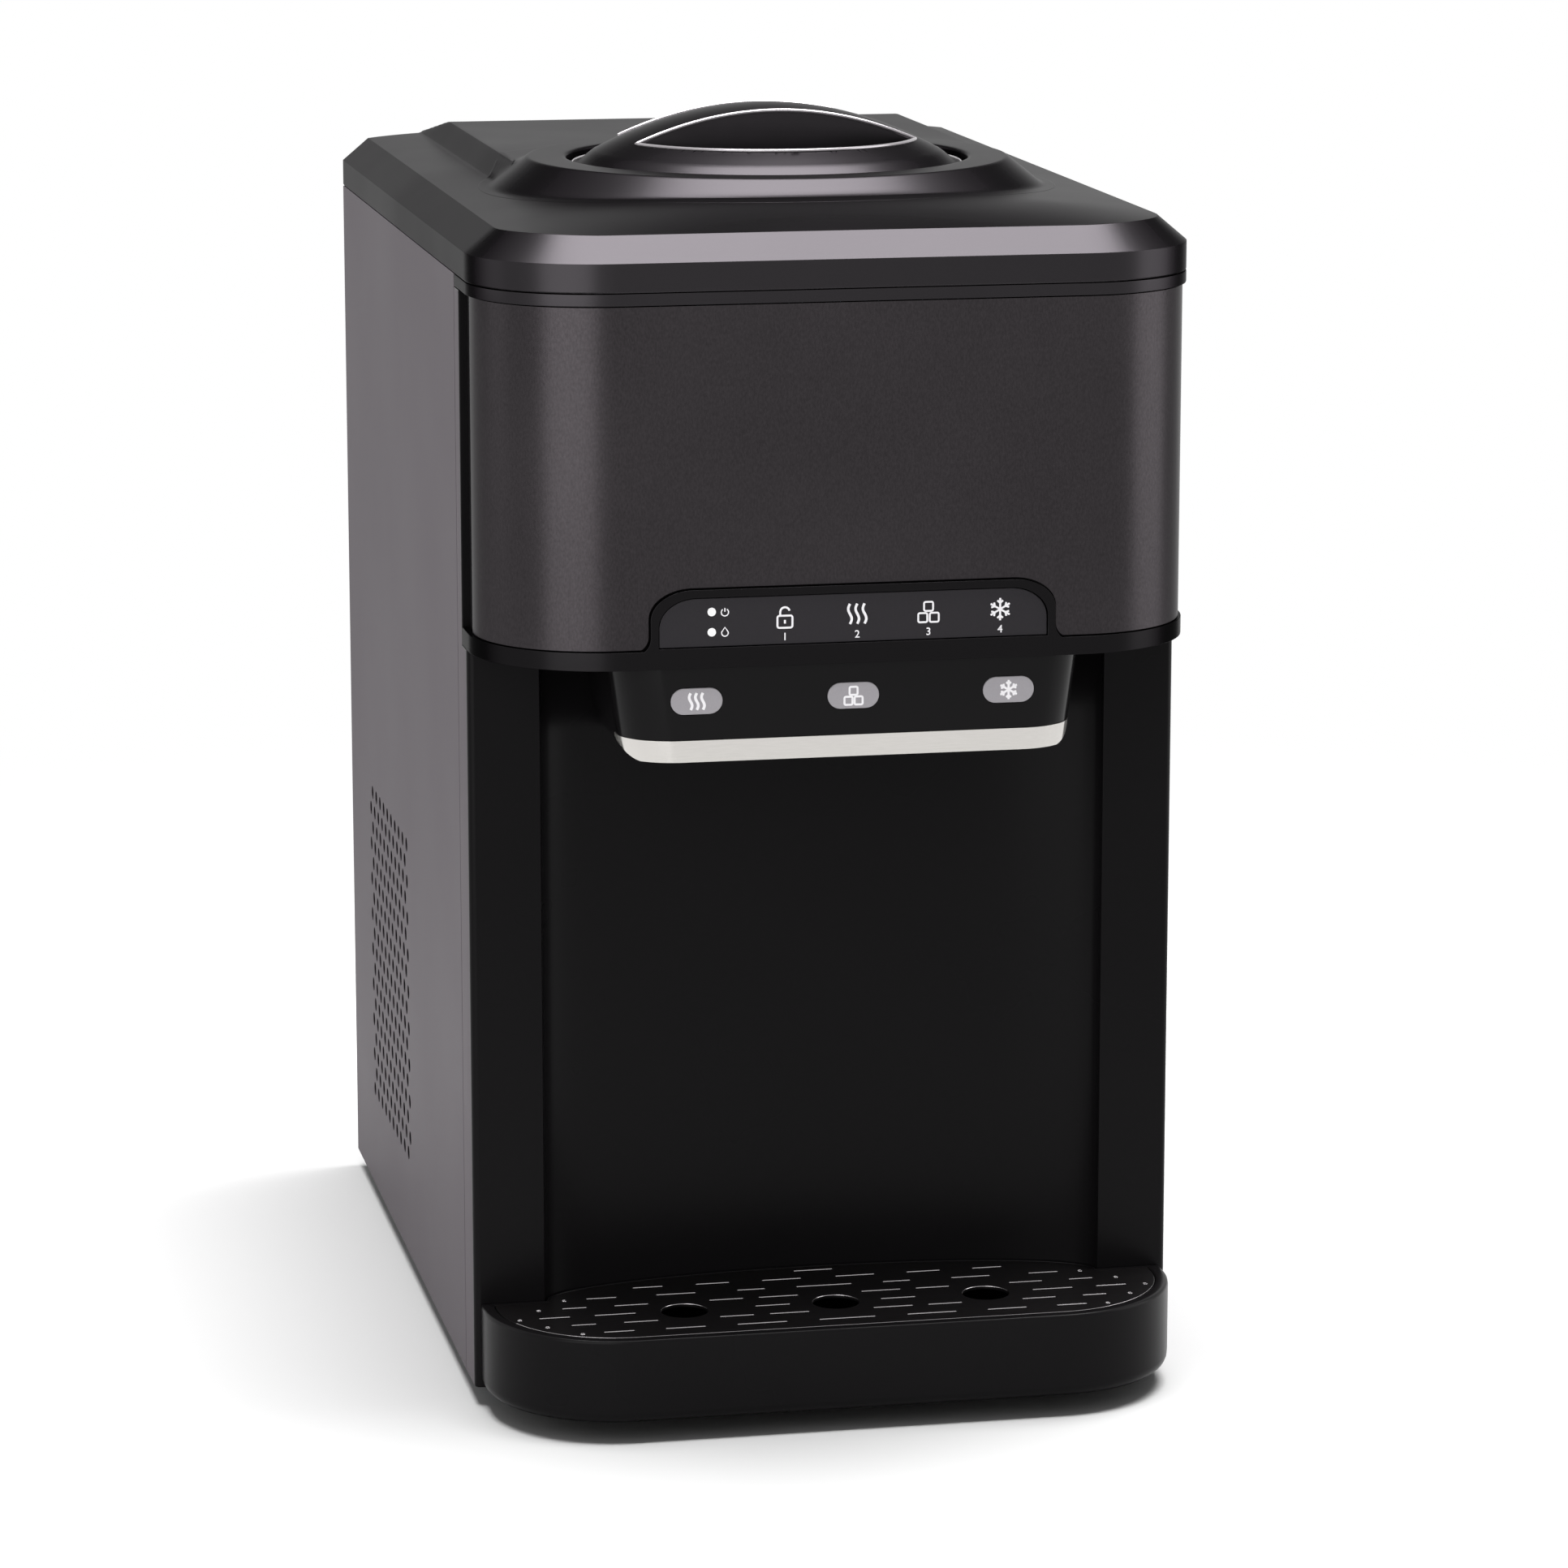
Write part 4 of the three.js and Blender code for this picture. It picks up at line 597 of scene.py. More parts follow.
def make_rim():
    pan = prism(bow(HALF, RIM_FRONT_Y, -149, RIM_CORNER), RIM_Z, RIM_TOP_Z)
    lip = prism(bow(HALF - 2.4, RIM_FRONT_Y + 2.4, -148, RIM_CORNER - 2.4), RIM_Z + 3, RIM_TOP_Z + 1)
    chute = box(-CHUTE_HALF, CHUTE_HALF, *CHUTE_Y, RIM_Z - 1, RIM_Z + 4)
    pan = boolean(boolean(pan, lip), chute)
    band = prism_y(arch(ARCH_BAND, RIM_TOP_Z - 1.2, ARCH_FOOT), RIM_FRONT_Y, RIM_FRONT_Y + 2.4)
    pan = boolean(pan, band, "UNION")
    pan = boolean(pan, prism_y(arch(0.3, KEYS_Z - 0.3), RIM_FRONT_Y - 1, RIM_FRONT_Y + 3))
    show("rim_and_arch", bevelled(pan, 0.8, 3, 50), RIM, "body", ["panel_rim"])


def make_skin():
    outer = prism(bow(SKIN_HALF, FRONT_Y, -166, CORNER - 1), RIM_TOP_Z + 0.3, SKIN_TOP_Z)
    inner = prism(bow(SKIN_HALF - SHEET, FRONT_Y + SHEET, -165, CORNER - 1 - SHEET), RIM_Z, BODY_TOP_Z)
    opening = prism_y(arch(ARCH_BAND + 0.35, RIM_TOP_Z - 0.6, ARCH_FOOT), RIM_FRONT_Y, -205)
    mesh = boolean(boolean(outer, inner), opening)
    show("front_skin", bevelled(mesh, 0.3, 2, 60), SKIN, "body", ["upper_front_panel"])
    housing = boolean(
        prism(bow(146.7, -218, -149, 51), RIM_Z + 3.3, SKIN_TOP_Z - 0.3),
        prism(bow(144.2, -215.5, -148, 48.5), RIM_Z + 3, SKIN_TOP_Z),
    )
    show("skin_carrier", bevelled(housing, 0.4, 2, 60), BLACK, "body", ["upper_housing"])
    band = boolean(
        prism(bow(HALF, FRONT_Y, SEAM_Y, CORNER), SKIN_TOP_Z + 0.3, BODY_TOP_Z),
        prism(bow(HALF - 5, FRONT_Y + 5, SEAM_Y + 1, CORNER - 5), SKIN_TOP_Z, BODY_TOP_Z + 1),
    )
    show("band_under_cover", bevelled(band, 0.4, 2, 60), COVER, "body", ["cover_band"])


# Printed signs: thin raised ink on the key film and the outlet plates


def stroke(points, width, y, closed=False):
    mesh = bead([(x, 0, z) for x, z in points], width / 2, closed, sides=3)
    return moved(turned(mesh, Matrix.Scale(SIGN_FLATNESS, 4, (0, 1, 0))), y=y)


def wave_sign(cx, cz, size, width, y):
    made = []
    for shift in (-0.55, 0, 0.55):
        points = []
        for i in range(25):
            t = i / 24
            swing = shift + 0.13 * math.sin(t * 2 * math.pi)
            points.append((cx + size * swing, cz + size * (t - 0.5) * 1.5))
        made.append(stroke(points, width, y))
    return made


def cube_sign(cx, cz, size, width, y):
    side = size * 0.72
    half = side / 2
    made = []
    for dx, dz in ((0, size * 0.42), (-size * 0.46, -size * 0.46), (size * 0.46, -size * 0.46)):
        x, z = cx + dx, cz + dz
        outline = rounded(x - half, x + half, z - half, z + half, side * 0.18)
        made.append(stroke(outline, width, y, closed=True))
    return made


def flake_sign(cx, cz, size, width, y):
    made = []
    for k in range(6):
        a = math.radians(60 * k + 30)
        tip = (cx + size * math.cos(a), cz + size * math.sin(a))
        made.append(stroke([(cx, cz), tip], width, y))
        for turn in (-48, 48):
            b = a + math.radians(turn)
            root = (cx + size * 0.56 * math.cos(a), cz + size * 0.56 * math.sin(a))
            twig = (root[0] + size * 0.34 * math.cos(b), root[1] + size * 0.34 * math.sin(b))
            made.append(stroke([root, twig], width, y))
    return made


def lock_sign(cx, cz, size, width, y):
    body = rounded(cx - size * 0.72, cx + size * 0.72, cz - size, cz + size * 0.15, size * 0.2)
    bend = arc(cx, cz + size * 0.5, size * 0.45, 15, 180, 14)
    shackle = [(cx - size * 0.45, cz + size * 0.15), *reversed(bend)]
    return [
        stroke(body, width, y, closed=True),
        stroke(shackle, width, y),
        stroke([(cx, cz - size * 0.25), (cx, cz - size * 0.6)], width, y),
    ]


def power_sign(cx, cz, size, width, y):
    return [
        stroke(arc(cx, cz, size, 125, 415, 20), width, y),
        stroke([(cx, cz + size * 0.15), (cx, cz + size * 1.15)], width, y),
    ]


def drop_sign(cx, cz, size, width, y):
    outline = [(cx, cz + size * 1.15), *arc(cx, cz - size * 0.2, size * 0.8, 20, -200, 20)]
    return [stroke(outline, width, y, closed=True)]


def number_sign(text, cx, cz, size, y):
    curve = bpy.data.curves.new("number", "FONT")
    curve.body = text
    curve.size = size * MM
    curve.align_x = "CENTER"
    curve.extrude = 0.00002
    curve.offset = 0.00004
    return moved(turned(applied(temporary(curve)), TO_FRONT), cx, y, cz)


def make_keys():
    film = facing_front(plate([arch(0, KEYS_Z)], 2.0, 0.25), KEYS_FRONT_Y + 1.0)
    show("key_film", film, KEYS, "body", ["key_panel"])
    y = KEYS_FRONT_Y - 0.02
    signs = [
        *lock_sign(-28.7, 344.0, 4.3, 0.85, y),
        *wave_sign(1.2, 344.4, 5.5, 1.1, y),
        *cube_sign(30.8, 344.2, 5.2, 0.8, y),
        *flake_sign(60.7, 344.2, 4.6, 0.85, y),
        *power_sign(-53.4, 346.9, 1.5, 0.5, y),
        *drop_sign(-53.4, 338.8, 1.7, 0.5, y),
    ]
    for text, x in (("1", -28.7), ("2", 1.2), ("3", 30.8), ("4", 60.7)):
        signs.append(number_sign(text, x, NUMBER_Z, NUMBER_SIZE, y))
    show("key_signs", merged(*signs), PRINT, "body")
    lamps = []
    for z in (POWER_LAMP_Z, WATER_LAMP_Z):
        lamps.append(facing_front(plate([circle(LAMP_X, z, LAMP_R, 28)], 0.5, 0.15), KEYS_FRONT_Y))
    show("key_lamps", merged(*lamps), LAMP, "body")


# Spout housing, its bright trim and the outlet plates


def spout_ring(grow, z):
    t = (z - SPOUT_Z) / (RIM_Z - SPOUT_Z)
    half = SPOUT_LOW_HALF + (SPOUT_TOP_HALF - SPOUT_LOW_HALF) * t + grow
    return level(bow(half, SPOUT_FRONT_Y - grow, FASCIA_Y + 34, SPOUT_CORNER + grow), z)


def spout_plan(grow, z0, z1):
    return loft([spout_ring(grow, z0), spout_ring(grow, z1)])


def spout_elevation(grow):
    half = SPOUT_LOW_HALF + 0.6 + grow
    radius = SPOUT_EDGE
    bottom = SPOUT_Z - grow
    outline = [
        *arc(radius - half, bottom + radius, radius, 180, 270, 14),
        *arc(half - radius, bottom + radius, radius, 270, 360, 14),
        (SPOUT_TOP_HALF + 4 + grow, RIM_Z + 1),
        (-SPOUT_TOP_HALF - 4 - grow, RIM_Z + 1),
    ]
    return prism_y(outline, RIM_FRONT_Y - 5, FASCIA_Y + 40)


def behind_recess(grow):
    far = FASCIA_Y + 60
    return [
        (160, FASCIA_Y - grow),
        (160, far),
        (-160, far),
        (-160, FASCIA_Y - grow),
        *reversed(recess(-grow)),
    ]


def make_spout():
    top = RIM_Z - 0.3
    outer = boolean(spout_plan(0, SPOUT_Z, top), spout_elevation(0), "INTERSECT")
    hollow = boolean(spout_plan(-WALL, SPOUT_Z + WALL, top + 1), spout_elevation(-WALL), "INTERSECT")
    shell = boolean(outer, hollow)
    shell = boolean(shell, prism(behind_recess(0.3), SPOUT_Z - 5, top + 5))
    for x in (-OUTLET_X, OUTLET_X):
        shell = boolean(shell, prism(circle(x, OUTLET_Y, 7.3, 32), SPOUT_Z - 1, SPOUT_Z + 6))
    shell = boolean(shell, box(-23.4, 23.4, -208.4, -165.6, SPOUT_Z - 1, SPOUT_Z + 6))
    rebate = boolean(
        spout_plan(2, SPOUT_Z - 2, TRIM_TOP_Z + 0.3),
        spout_plan(-1.5, SPOUT_Z - 3, TRIM_TOP_Z + 2),
    )
    rebate = boolean(rebate, box(-120, 120, TRIM_END_Y + 0.3, -100, SPOUT_Z - 4, TRIM_TOP_Z + 4))
    shell = boolean(shell, rebate)
    for x in (-OUTLET_X, 0, OUTLET_X):
        pocket = prism_y(stadium(x, LABEL_Z, 22.0, 11.4), SPOUT_FRONT_Y - 1, SPOUT_FRONT_Y + 1)
        shell = boolean(shell, pocket)
    show("spout_shell", bevelled(shell, 0.5, 2, 50), GLOSS, "body", ["spout_housing"])

    band = boolean(spout_plan(0.3, SPOUT_Z, TRIM_TOP_Z), spout_plan(-1.2, SPOUT_Z - 1, TRIM_TOP_Z + 1))
    band = boolean(band, box(-120, 120, TRIM_END_Y, -100, SPOUT_Z - 4, TRIM_TOP_Z + 4))
    band = boolean(band, spout_elevation(0.3), "INTERSECT")
    show("bright_trim", bevelled(band, 0.35, 2, 50), TRIM, "body", ["spout_trim"])

    signs = []
    front = SPOUT_FRONT_Y - 0.42
    for name, x in (("hot", -OUTLET_X), ("ice", 0), ("cold", OUTLET_X)):
        pill = facing_front(plate([stadium(x, LABEL_Z, 21.4, 10.8, 14)], 1.1, 0.35, 2), SPOUT_FRONT_Y + 0.15)
        show(f"outlet_plate_{name}", pill, LABEL, "body", [f"label_{name}"])
    signs += wave_sign(-OUTLET_X, LABEL_Z, 4.6, 1.2, front)
    signs += cube_sign(0, LABEL_Z, 4.6, 0.9, front)
    signs += flake_sign(OUTLET_X, LABEL_Z, 4.0, 0.95, front)
    show("outlet_signs", merged(*signs), PRINT, "body")


# Drip tray and grille


def tray_outline(inset, rear_gap, recess_gap, steps=18):
    rear = FASCIA_Y - rear_gap
    outline = bow(TRAY_HALF - inset, TRAY_FRONT_Y + inset, rear, TRAY_CORNER - inset, steps)
    curve = recess(-recess_gap, 48)
    return [outline[0], (curve[0][0], rear), *curve, (curve[-1][0], rear), *outline[1:]]


def make_tray():
    seat = GRILLE_Z - 0.3
    rings = [
        (4.2, 0.5, 0.8, TRAY_Z), (2.2, 0.5, 0.8, TRAY_Z + 0.4), (0.9, 0.5, 0.8, TRAY_Z + 1.6),
        (0.2, 0.5, 0.8, TRAY_Z + 3.2), (0, 0.5, 0.8, TRAY_Z + 5), (0, 0.5, 0.8, TRAY_TOP_Z - 1.6),
        (0.25, 0.5, 0.8, TRAY_TOP_Z - 0.6), (0.9, 0.6, 0.9, TRAY_TOP_Z - 0.1), (1.8, 0.9, 1.2, TRAY_TOP_Z),
        (4.4, 1.2, 1.5, TRAY_TOP_Z), (5.1, 1.9, 1.9, TRAY_TOP_Z - 0.3), (TRAY_RIM, 2.1, 2.1, TRAY_TOP_Z - 1),
        (TRAY_RIM, 2.2, 2.2, seat), (TRAY_RIM + 2.5, 4.0, 4.0, seat), (TRAY_RIM + 2.6, 4.1, 4.1, seat - 1),
        (TRAY_RIM + 4.0, 5.5, 5.5, TRAY_Z + WALL + 3), (TRAY_RIM + 6.0, 7.5, 7.5, TRAY_Z + WALL),
    ]
    mesh = loft([level(tray_outline(a, b, c), z) for a, b, c, z in rings])
    show("tray_shell", mesh, BLACK, "tray", ["drip_tray"], sharp=50)


GRILLE_ROWS = (
    (-49, ((0, 25), (36.2, 22.2), (68.6, 18), (96.6, 14)), 112),
    (-37, ((22.2, 18), (44.6, 15.6), (85.3, 15.6), (109.5, 11.5)), 124.8),
    (-25, ((27, 16), (94.2, 18.6), (119.8, 14.2)), 134.6),
    (-13, ((22.2, 18), (44.6, 15.6), (85.3, 15.6), (109.5, 11.5)), 124.8),
    (-1, ((0, 25), (31.6, 13), (64, 18), (96, 14)), 112),
    (11, ((16, 18), (46, 15.6), (74, 14)), 0),
    (22, ((0, 18),), 0),
)


def grille_slots():
    slots, dots = [], []
    for y, row, dot in GRILLE_ROWS:
        for centre, length in row:
            for x in ((-centre, centre) if centre else (0,)):
                slots.append((x, FASCIA_Y + y, length))
        if dot:
            dots += [(-dot, FASCIA_Y + y), (dot, FASCIA_Y + y)]
    return slots, dots


def make_grille():
    slots, dots = grille_slots()
    fingers = [circle(x, OUTLET_Y, 10, 48) for x in (-OUTLET_X, 0, OUTLET_X)]
    outlines = [stadium(x, y, length, 1.8, 5) for x, y, length in slots]
    outlines += [circle(x, y, 1.2, 14) for x, y in dots] + fingers
    rim = tray_outline(TRAY_RIM + 0.3, 1.4, 1.4)
    sheet = plate([rim, *outlines], 1.5, 0.2, 1)
    turned(sheet, Matrix.Translation((0, 0, (GRILLE_Z + 0.75) * MM)))
    show("grille_sheet", sheet, GRILLE, "grille", ["drip_grille"])
    # Light beads along the rear edge of each slot, round the rear half of each finger hole and along the
    # grille's front: painted highlights where the edges catch the light.
    top = GRILLE_TOP_Z - 0.12
    edges = []
    for x, y, length in slots:
        reach = length / 2 - 0.7
        edges.append(bead([(x - reach, y + 0.8, top), (x + reach, y + 0.8, top)], 0.28, sides=2))
    for x, y in dots:
        edges.append(bead([(px, py, top) for px, py in circle(x, y, 0.9, 12)], 0.18, closed=True, sides=1))
    for x in (-OUTLET_X, 0, OUTLET_X):
        edges.append(bead([(px, py, top) for px, py in arc(x, OUTLET_Y, 9.9, 10, 170, 24)], 0.16, sides=1))
    front = [(x, y, top) for x, y in tray_outline(TRAY_RIM + 0.6, 1.7, 1.7) if y < -190]
    edges.append(bead(front, 0.2, sides=1))
    show("grille_highlight_beads", merged(*edges), EDGE, "grille")


# Top cover


def deck_height(x, y):
    front = 8 * (1 - abs(x / DECK_HALF) ** 1.87)
    rear = 3.2 * (1 - abs(x / DECK_HALF) ** 5)
    t = min(max((y + 102) / 140, 0), 1)
    blend = t * t * (3 - 2 * t)
    fall = 1 if y >= -142 else 1 - min(((-142 - y) / 66), 1) ** 1.9
    return DECK_Z + max(0.0, (front + (rear - front) * blend) * fall)


def plateau_height(x, y):
    if y < WELL_Y:
        return 0.0
    side = 509.7 - (abs(x) - 106.3) * 8.5 / 6.0
    rear = 509.7 - (y - 181) * 8.0 / 44.0
    return smooth_min(smooth_min(509.7, side, 1.0), rear, 1.0)


def boss_height(radius):
    ramp = BOSS_TOP_Z - (radius - BOSS_TOP_R) * BOSS_FALL
    return smooth_min(BOSS_TOP_Z, ramp, 0.7)


def base_height(x, y):
    return smooth_max(deck_height(x, y), plateau_height(x, y), 1.6)


def top_height(x, y):
    return smooth_max(base_height(x, y), boss_height(math.hypot(x, y - WELL_Y)), 1.2)


def spaced(*spans):
    values = [spans[0][0]]
    for start, end, step in spans:
        count = max(1, round((end - start) / step))
        values += [start + (end - start) * (i + 1) / count for i in range(count)]
    return values


def cover_deck():
    radius = CORNER - CHAMFER
    front = FRONT_Y + CHAMFER
    arc_rows = [front + radius * (1 - math.cos(math.radians(a))) for a in range(0, 90, 6)]
    rows = arc_rows + spaced((front + radius, 176, 4), (176, 186, 1), (186, COVER_REAR_Y, 4))
    half_columns = spaced((0, 100, 4), (100, 118, 1), (118, DECK_HALF, 4))
    columns = [-c for c in reversed(half_columns[1:])] + half_columns
    points, outward = [], []
    for y in rows:
        drop = max(front + radius - y, 0)
        width = DECK_HALF - radius + math.sqrt(max(radius * radius - drop * drop, 0))
        points += [(c * width / DECK_HALF, y, base_height(c * width / DECK_HALF, y)) for c in columns]
    across = len(columns)
    faces = []
    for r in range(len(rows) - 1):
        for c in range(across - 1):
            a = r * across + c
            quad = (a, a + 1, a + across + 1, a + across)
            if all(math.hypot(points[i][0], points[i][1] - WELL_Y) < 110 for i in quad):
                continue
            faces.append(quad)
    border = [*range(across - 1, -1, -1)]
    border += [r * across for r in range(1, len(rows))]
    border += [(len(rows) - 1) * across + c for c in range(1, across)]
    border += [r * across + across - 1 for r in range(len(rows) - 2, 0, -1)]
    last_row = (len(rows) - 1) * across
    for i in border:
        x, y, _ = points[i]
        if i >= last_row:
            outward.append((x * HALF / DECK_HALF, y))
        elif y <= front + 0.001:
            outward.append((x, y - CHAMFER))
        elif y < front + radius:
            cx = math.copysign(DECK_HALF - radius, x)
            dx, dy = x - cx, y - (front + radius)
            length = math.hypot(dx, dy)
            outward.append((x + dx / length * CHAMFER, y + dy / length * CHAMFER))
        else:
            outward.append((math.copysign(HALF, x), y))
    for z in (COVER_WALL_Z, COVER_Z + 0.5, COVER_Z):
        shrink = 0.3 if z == COVER_Z else 0.0
        ring = [(x * (1 - shrink / HALF), y * (1 - shrink / 220), z) for x, y in outward]
        start = len(points)
        points += ring
        previous = border if z == COVER_WALL_Z else list(range(start - len(ring), start))
        for i in range(len(border)):
            j = (i + 1) % len(border)
            faces.append((previous[i], previous[j], start + j, start + i))
    mesh = mesh_from(points, faces)
    bm = bmesh.new()
    bm.from_mesh(mesh)
    bmesh.ops.remove_doubles(bm, verts=bm.verts, dist=0.00001)
    loose = [v for v in bm.verts if not v.link_faces]
    bmesh.ops.delete(bm, geom=loose, context="VERTS")
    bmesh.ops.recalc_face_normals(bm, faces=bm.faces)
    bm.to_mesh(mesh)
    bm.free()
    return mesh


def cover_boss():
    profile = [(LEDGE_R, 497.0), (LEDGE_R, 499.2), (MOUTH_R, 499.2), (MOUTH_R, 511.6), (86.35, 512.4),
               (86.9, 512.9), (87.8, 513.05)]
    steps = 160
    rings = []
    for radius, z in profile:
        rings.append([(x, y + WELL_Y, z) for x, y in circle(0, 0, radius, steps)])
    for radius in spaced((89, 101, 4), (101, 105, 0.4), (105, 112, 2), (112, 124, 0.6)):
        ring = []
        for x, y in circle(0, 0, radius, steps):
            ring.append((x, y + WELL_Y, top_height(x, y + WELL_Y) + 0.02))
        rings.append(ring)
    rings.append([(x, y + WELL_Y, top_height(x, y + WELL_Y) - 0.8) for x, y in circle(0, 0, 125, steps)])
    return loft(rings, False, False)


def make_cover():
    deck = bevelled(cover_deck(), 1.1, 3, 24)
    show("cover_shell", merged(deck, cover_boss()), COVER, "body", ["top_cover"], sharp=40)


# Well cap with two finger pockets


def pocket_outline(grow, steps=36):
    start = math.degrees(math.asin(POCKET_CHORD / POCKET_R))
    return arc(0, WELL_Y, POCKET_R + grow, 180 + start, 360 - start, steps)


def dome_z(x, y):
    return CAP_TOP_Z - DOME * (x * x + (y - WELL_Y) ** 2)


def turn_half(mesh):
    """Half a turn about the middle of the well."""
    return turned(mesh, Matrix.Translation((0, 2 * WELL_Y * MM, 0)) @ Matrix.Rotation(math.pi, 4, "Z"))


def make_cap():
    crown = [(0, CAP_TOP_Z)] + [(r, CAP_TOP_Z - DOME * r * r) for r in range(4, 73, 4)]
    skirt = [(73.5, 515.9), (74.6, 515.4), (76, 514.4), (77.5, 513.2), (79, 511.95), (80.5, 510.85),
             (82, 510.2), (83.3, 509.8), (84.2, 509.55), (CAP_R, 509.3), (CAP_R, 501.2), (0, 501.2)]
    body = revolve(list(reversed(crown + skirt)), 0, WELL_Y, 128)
    under = [(0, CAP_TOP_Z - 3), (24, 530.3), (48, 524.1), (72, 513.7), (81.6, 510), (81.6, 500), (0, 500)]
    hollow = revolve(list(reversed(under)), 0, WELL_Y, 96)
    floor_z, chord_y = POCKET_Z - POCKET_SKIN, WELL_Y - POCKET_CHORD
    core = prism(pocket_outline(POCKET_SKIN), floor_z, CAP_TOP_Z + 1)
    wall = box(-70, 70, chord_y - 1, chord_y + POCKET_SKIN, floor_z, CAP_TOP_Z + 1)
    for piece in (core, wall):
        hollow = boolean(hollow, turn_half(piece.copy()))
        hollow = boolean(hollow, piece)
    cap = boolean(body, hollow)
    cut = prism(pocket_outline(0), POCKET_Z, CAP_TOP_Z + 5)
    cap = boolean(cap, turn_half(cut.copy()))
    cap = boolean(cap, cut)
    show("cap_shell", bevelled(cap, 0.7, 2, 45), COVER, "cap", ["port_cap"], sharp=40)
    # Beads round the finger pockets and a ring near the foot of the skirt, in light grey metal: painted
    # highlights on rounded edges.
    path = [(x, y, dome_z(x, y)) for x, y in pocket_outline(0.2, 48)]
    (x0, y0, _), (x1, _, _) = path[-1], path[0]
    across = [x0 + (x1 - x0) * t / 24 for t in range(1, 24)]
    chord = [(x, y0, dome_z(x, y0)) for x in across]
    rim = bead([*path, *chord], 0.95, closed=True, sides=3)
    ring = bead(level(circle(0, WELL_Y, CAP_RING_R, 128), CAP_RING_Z), 0.5, closed=True, sides=2)
    rims = merged(rim, turn_half(rim.copy()), ring)
    show("cap_highlight_beads", rims, CAP_HIGHLIGHT, "cap")


# Smaller pieces that keep the solid's form, with softened edges


def refine(name, node, material, body, width=0.35, angle=35, sharp=40):
    source = bpy.data.objects[node].data.copy()
    bm = bmesh.new()
    bm.from_mesh(source)
    bmesh.ops.remove_doubles(bm, verts=bm.verts, dist=0.00001)
    bmesh.ops.dissolve_limit(bm, angle_limit=math.radians(1), verts=bm.verts, edges=bm.edges)
    bm.to_mesh(source)
    bm.free()
    show(name, bevelled(source, width, 2, angle), material, body, [node], sharp)


def make_small_pieces():
    for end in ("front", "rear"):
        for side in ("left", "right"):
            refine(f"rubber_foot_{end}_{side}", f"foot_{end}_{side}", RUBBER, "body")
    refine("rocker_frame", "switch_housing", BLACK, "body")
    refine("rocker", "power_rocker", GLOSS, "rocker")
    refine("cord_grommet", "cord_gland", RUBBER, "body")
    refine("drain_spigot", "drain_port", BLACK, "body")
    refine("drain_stopper", "drain_plug", RUBBER, "plug")


NODE_FINISH = {
    "base_pan": ZINC, "middle_deck": ZINC, "ice_bin": WHITE, "bin_cover": FOAM, "ice_auger": STEEL,
    "auger_motor": ZINC, "ice_chute": WHITE, "ice_gate": WHITE, "gate_motor": WHITE, "ice_unit_frame": ZINC,
    "evaporator": COPPER, "water_tray": WHITE, "tray_motor": WHITE, "reservoir": TANK, "level_float": FOAM,
    "water_pump": WHITE, "hot_tank": STEEL, "cold_tank": FOAM, "outlet_valve_hot": WHITE,
    "outlet_valve_cold": WHITE, "hose_hot": SILICONE, "hose_cold": SILICONE,
    "feed_hose_hot": SILICONE, "feed_hose_cold": SILICONE,
    "pump_hose": SILICONE, "compressor": BLACK, "condenser": FINS, "fan_shroud": BLACK, "fan_rotor": WHITE,
    "fan_motor": ZINC, "power_board": BOARD, "touch_board": BOARD, "cap_seal": RUBBER,
}


def dress_nodes():
    for node, material in NODE_FINISH.items():
        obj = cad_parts[node]
        if not obj.material_slots:
            obj.data.materials.append(material)
        for slot in obj.material_slots:
            slot.material = material


# Camera, floor and light

CAMERA_PLACE = (-0.4826, -2.4597, 0.7508)
CAMERA_TILT = 78.24
CAMERA_TURN = -11.45
CAMERA_LENS = 131.8
FLOOR_TONE = 0.7
FLOOR_RADIUS = 20000
FLOOR_GLOW = 0.4
WORLD_LIGHT = 0.22

# Name, place, target, width, height and power. The strips light the object but not the floor.
STRIP_LAMPS = (
    ("left_softbox", (-0.86, -1.37, 0.82), (-0.1, -0.2, 0.82), 1.25, 1.6, 17),
    ("right_softbox", (1.49, -0.39, 0.82), (0.1, -0.2, 0.82), 1.0, 1.6, 12),
)
ROOM_LAMPS = (
    ("side_fill", (-2.6, 0.7, 0.7), (0, 0, 0.2), 1.2, 1.2, 4),
    ("top_softbox", (0.2, 0.0, 2.7), (0.15, 0.0, 0.4), 2.2, 1.5, 172),
)


def make_stage():
    camera = bpy.data.objects.new("camera", bpy.data.cameras.new("camera"))
    camera.location = CAMERA_PLACE
    camera.rotation_euler = (math.radians(CAMERA_TILT), 0, math.radians(CAMERA_TURN))
    camera.data.lens = CAMERA_LENS
    camera.data.sensor_width = 36
    camera.data.clip_end = 60
    bpy.context.scene.collection.objects.link(camera)
    bpy.context.scene.camera = camera

    sides = 96
    disc = mesh_from(level(circle(0, 0, FLOOR_RADIUS, sides), 0), [tuple(range(sides))])
    floor = bpy.data.objects.new("floor", disc)
    bpy.context.scene.collection.objects.link(floor)
    floor.data.materials.append(floor_material())

    off_floor = bpy.data.collections.new("off_floor")
    off_floor.objects.link(floor)
    off_floor.collection_objects[0].light_linking.link_state = "EXCLUDE"
    for values in STRIP_LAMPS:
        lamp(*values).light_linking.receiver_collection = off_floor
    for values in ROOM_LAMPS:
        lamp(*values)

    world = bpy.data.worlds.new("studio")
    bpy.context.scene.world = world
    world.use_nodes = True
    nodes, links = world.node_tree.nodes, world.node_tree.links
    background = nodes["Background"]
    background.inputs["Color"].default_value = (1, 1, 1, 1)
    links.new(pale_strength(nodes, links, WORLD_LIGHT), background.inputs["Strength"])
    bpy.context.scene.view_settings.view_transform = "Standard"


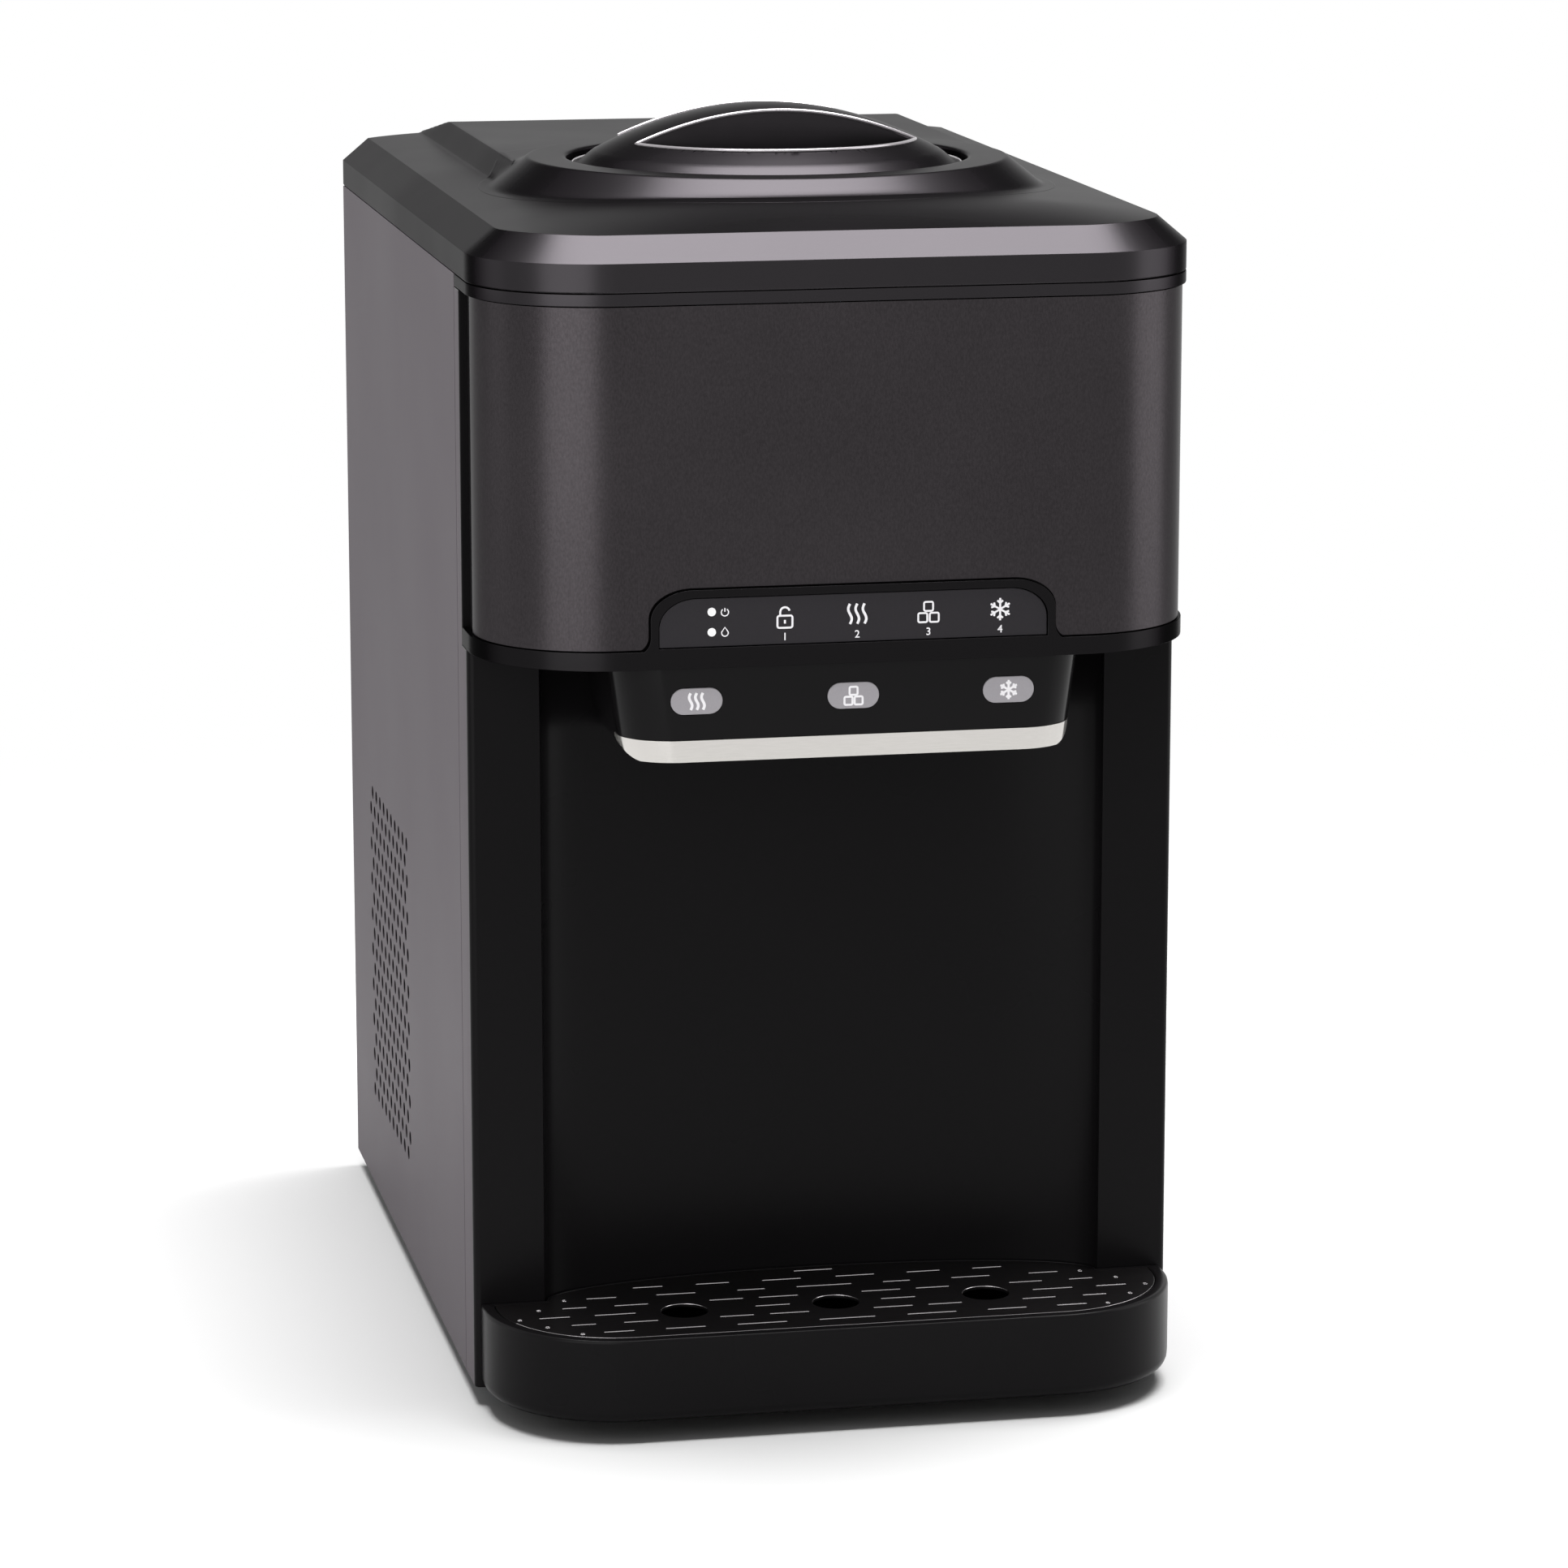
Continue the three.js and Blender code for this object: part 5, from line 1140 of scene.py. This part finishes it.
def pale_strength(nodes, links, diffuse):
    """1 for camera, glossy and transmission rays, and the lower strength diffuse for all others."""
    path = nodes.new("ShaderNodeLightPath")
    seen = path.outputs["Is Camera Ray"]
    for ray in ("Is Glossy Ray", "Is Transmission Ray"):
        larger = nodes.new("ShaderNodeMath")
        larger.operation = "MAXIMUM"
        links.new(seen, larger.inputs[0])
        links.new(path.outputs[ray], larger.inputs[1])
        seen = larger.outputs[0]
    strength = nodes.new("ShaderNodeMapRange")
    strength.inputs["To Min"].default_value = diffuse
    strength.inputs["To Max"].default_value = 1.0
    links.new(seen, strength.inputs["Value"])
    return strength.outputs["Result"]


def floor_material():
    material, nodes, links, principled = shader("pale_floor")
    principled.inputs["Base Color"].default_value = (FLOOR_TONE, FLOOR_TONE, FLOOR_TONE, 1)
    principled.inputs["Roughness"].default_value = 0.7
    principled.inputs["Specular IOR Level"].default_value = 0.1
    glow = nodes.new("ShaderNodeEmission")
    glow.inputs["Color"].default_value = (1, 1, 1, 1)
    links.new(pale_strength(nodes, links, FLOOR_GLOW), glow.inputs["Strength"])
    coordinates = nodes.new("ShaderNodeTexCoord")
    length = nodes.new("ShaderNodeVectorMath")
    length.operation = "LENGTH"
    links.new(coordinates.outputs["Object"], length.inputs[0])
    fade = nodes.new("ShaderNodeMapRange")
    fade.interpolation_type = "SMOOTHSTEP"
    fade.inputs["From Min"].default_value = 0.3
    fade.inputs["From Max"].default_value = 1.3
    links.new(length.outputs["Value"], fade.inputs["Value"])
    mix = nodes.new("ShaderNodeMixShader")
    links.new(fade.outputs["Result"], mix.inputs["Fac"])
    links.new(principled.outputs["BSDF"], mix.inputs[1])
    links.new(glow.outputs["Emission"], mix.inputs[2])
    links.new(mix.outputs["Shader"], nodes["Material Output"].inputs["Surface"])
    return material


def lamp(name, place, target, width, height, power):
    light = bpy.data.lights.new(name, "AREA")
    light.shape = "RECTANGLE"
    light.size = width
    light.size_y = height
    light.energy = power
    obj = bpy.data.objects.new(name, light)
    obj.location = place
    back = (Vector(place) - Vector(target)).normalized()
    across = Vector((0, 0, 1)).cross(back) if abs(back.z) < 0.95 else Vector((1, 0, 0))
    across = (across - across.dot(back) * back).normalized()
    obj.rotation_euler = Matrix((across, back.cross(across), back)).transposed().to_euler()
    bpy.context.scene.collection.objects.link(obj)
    return obj


make_stage()
make_side_panels()
make_rear_panel()
make_front_frame()
make_rim()
make_skin()
make_keys()
make_spout()
make_tray()
make_grille()
make_cover()
make_cap()
make_small_pieces()
dress_nodes()
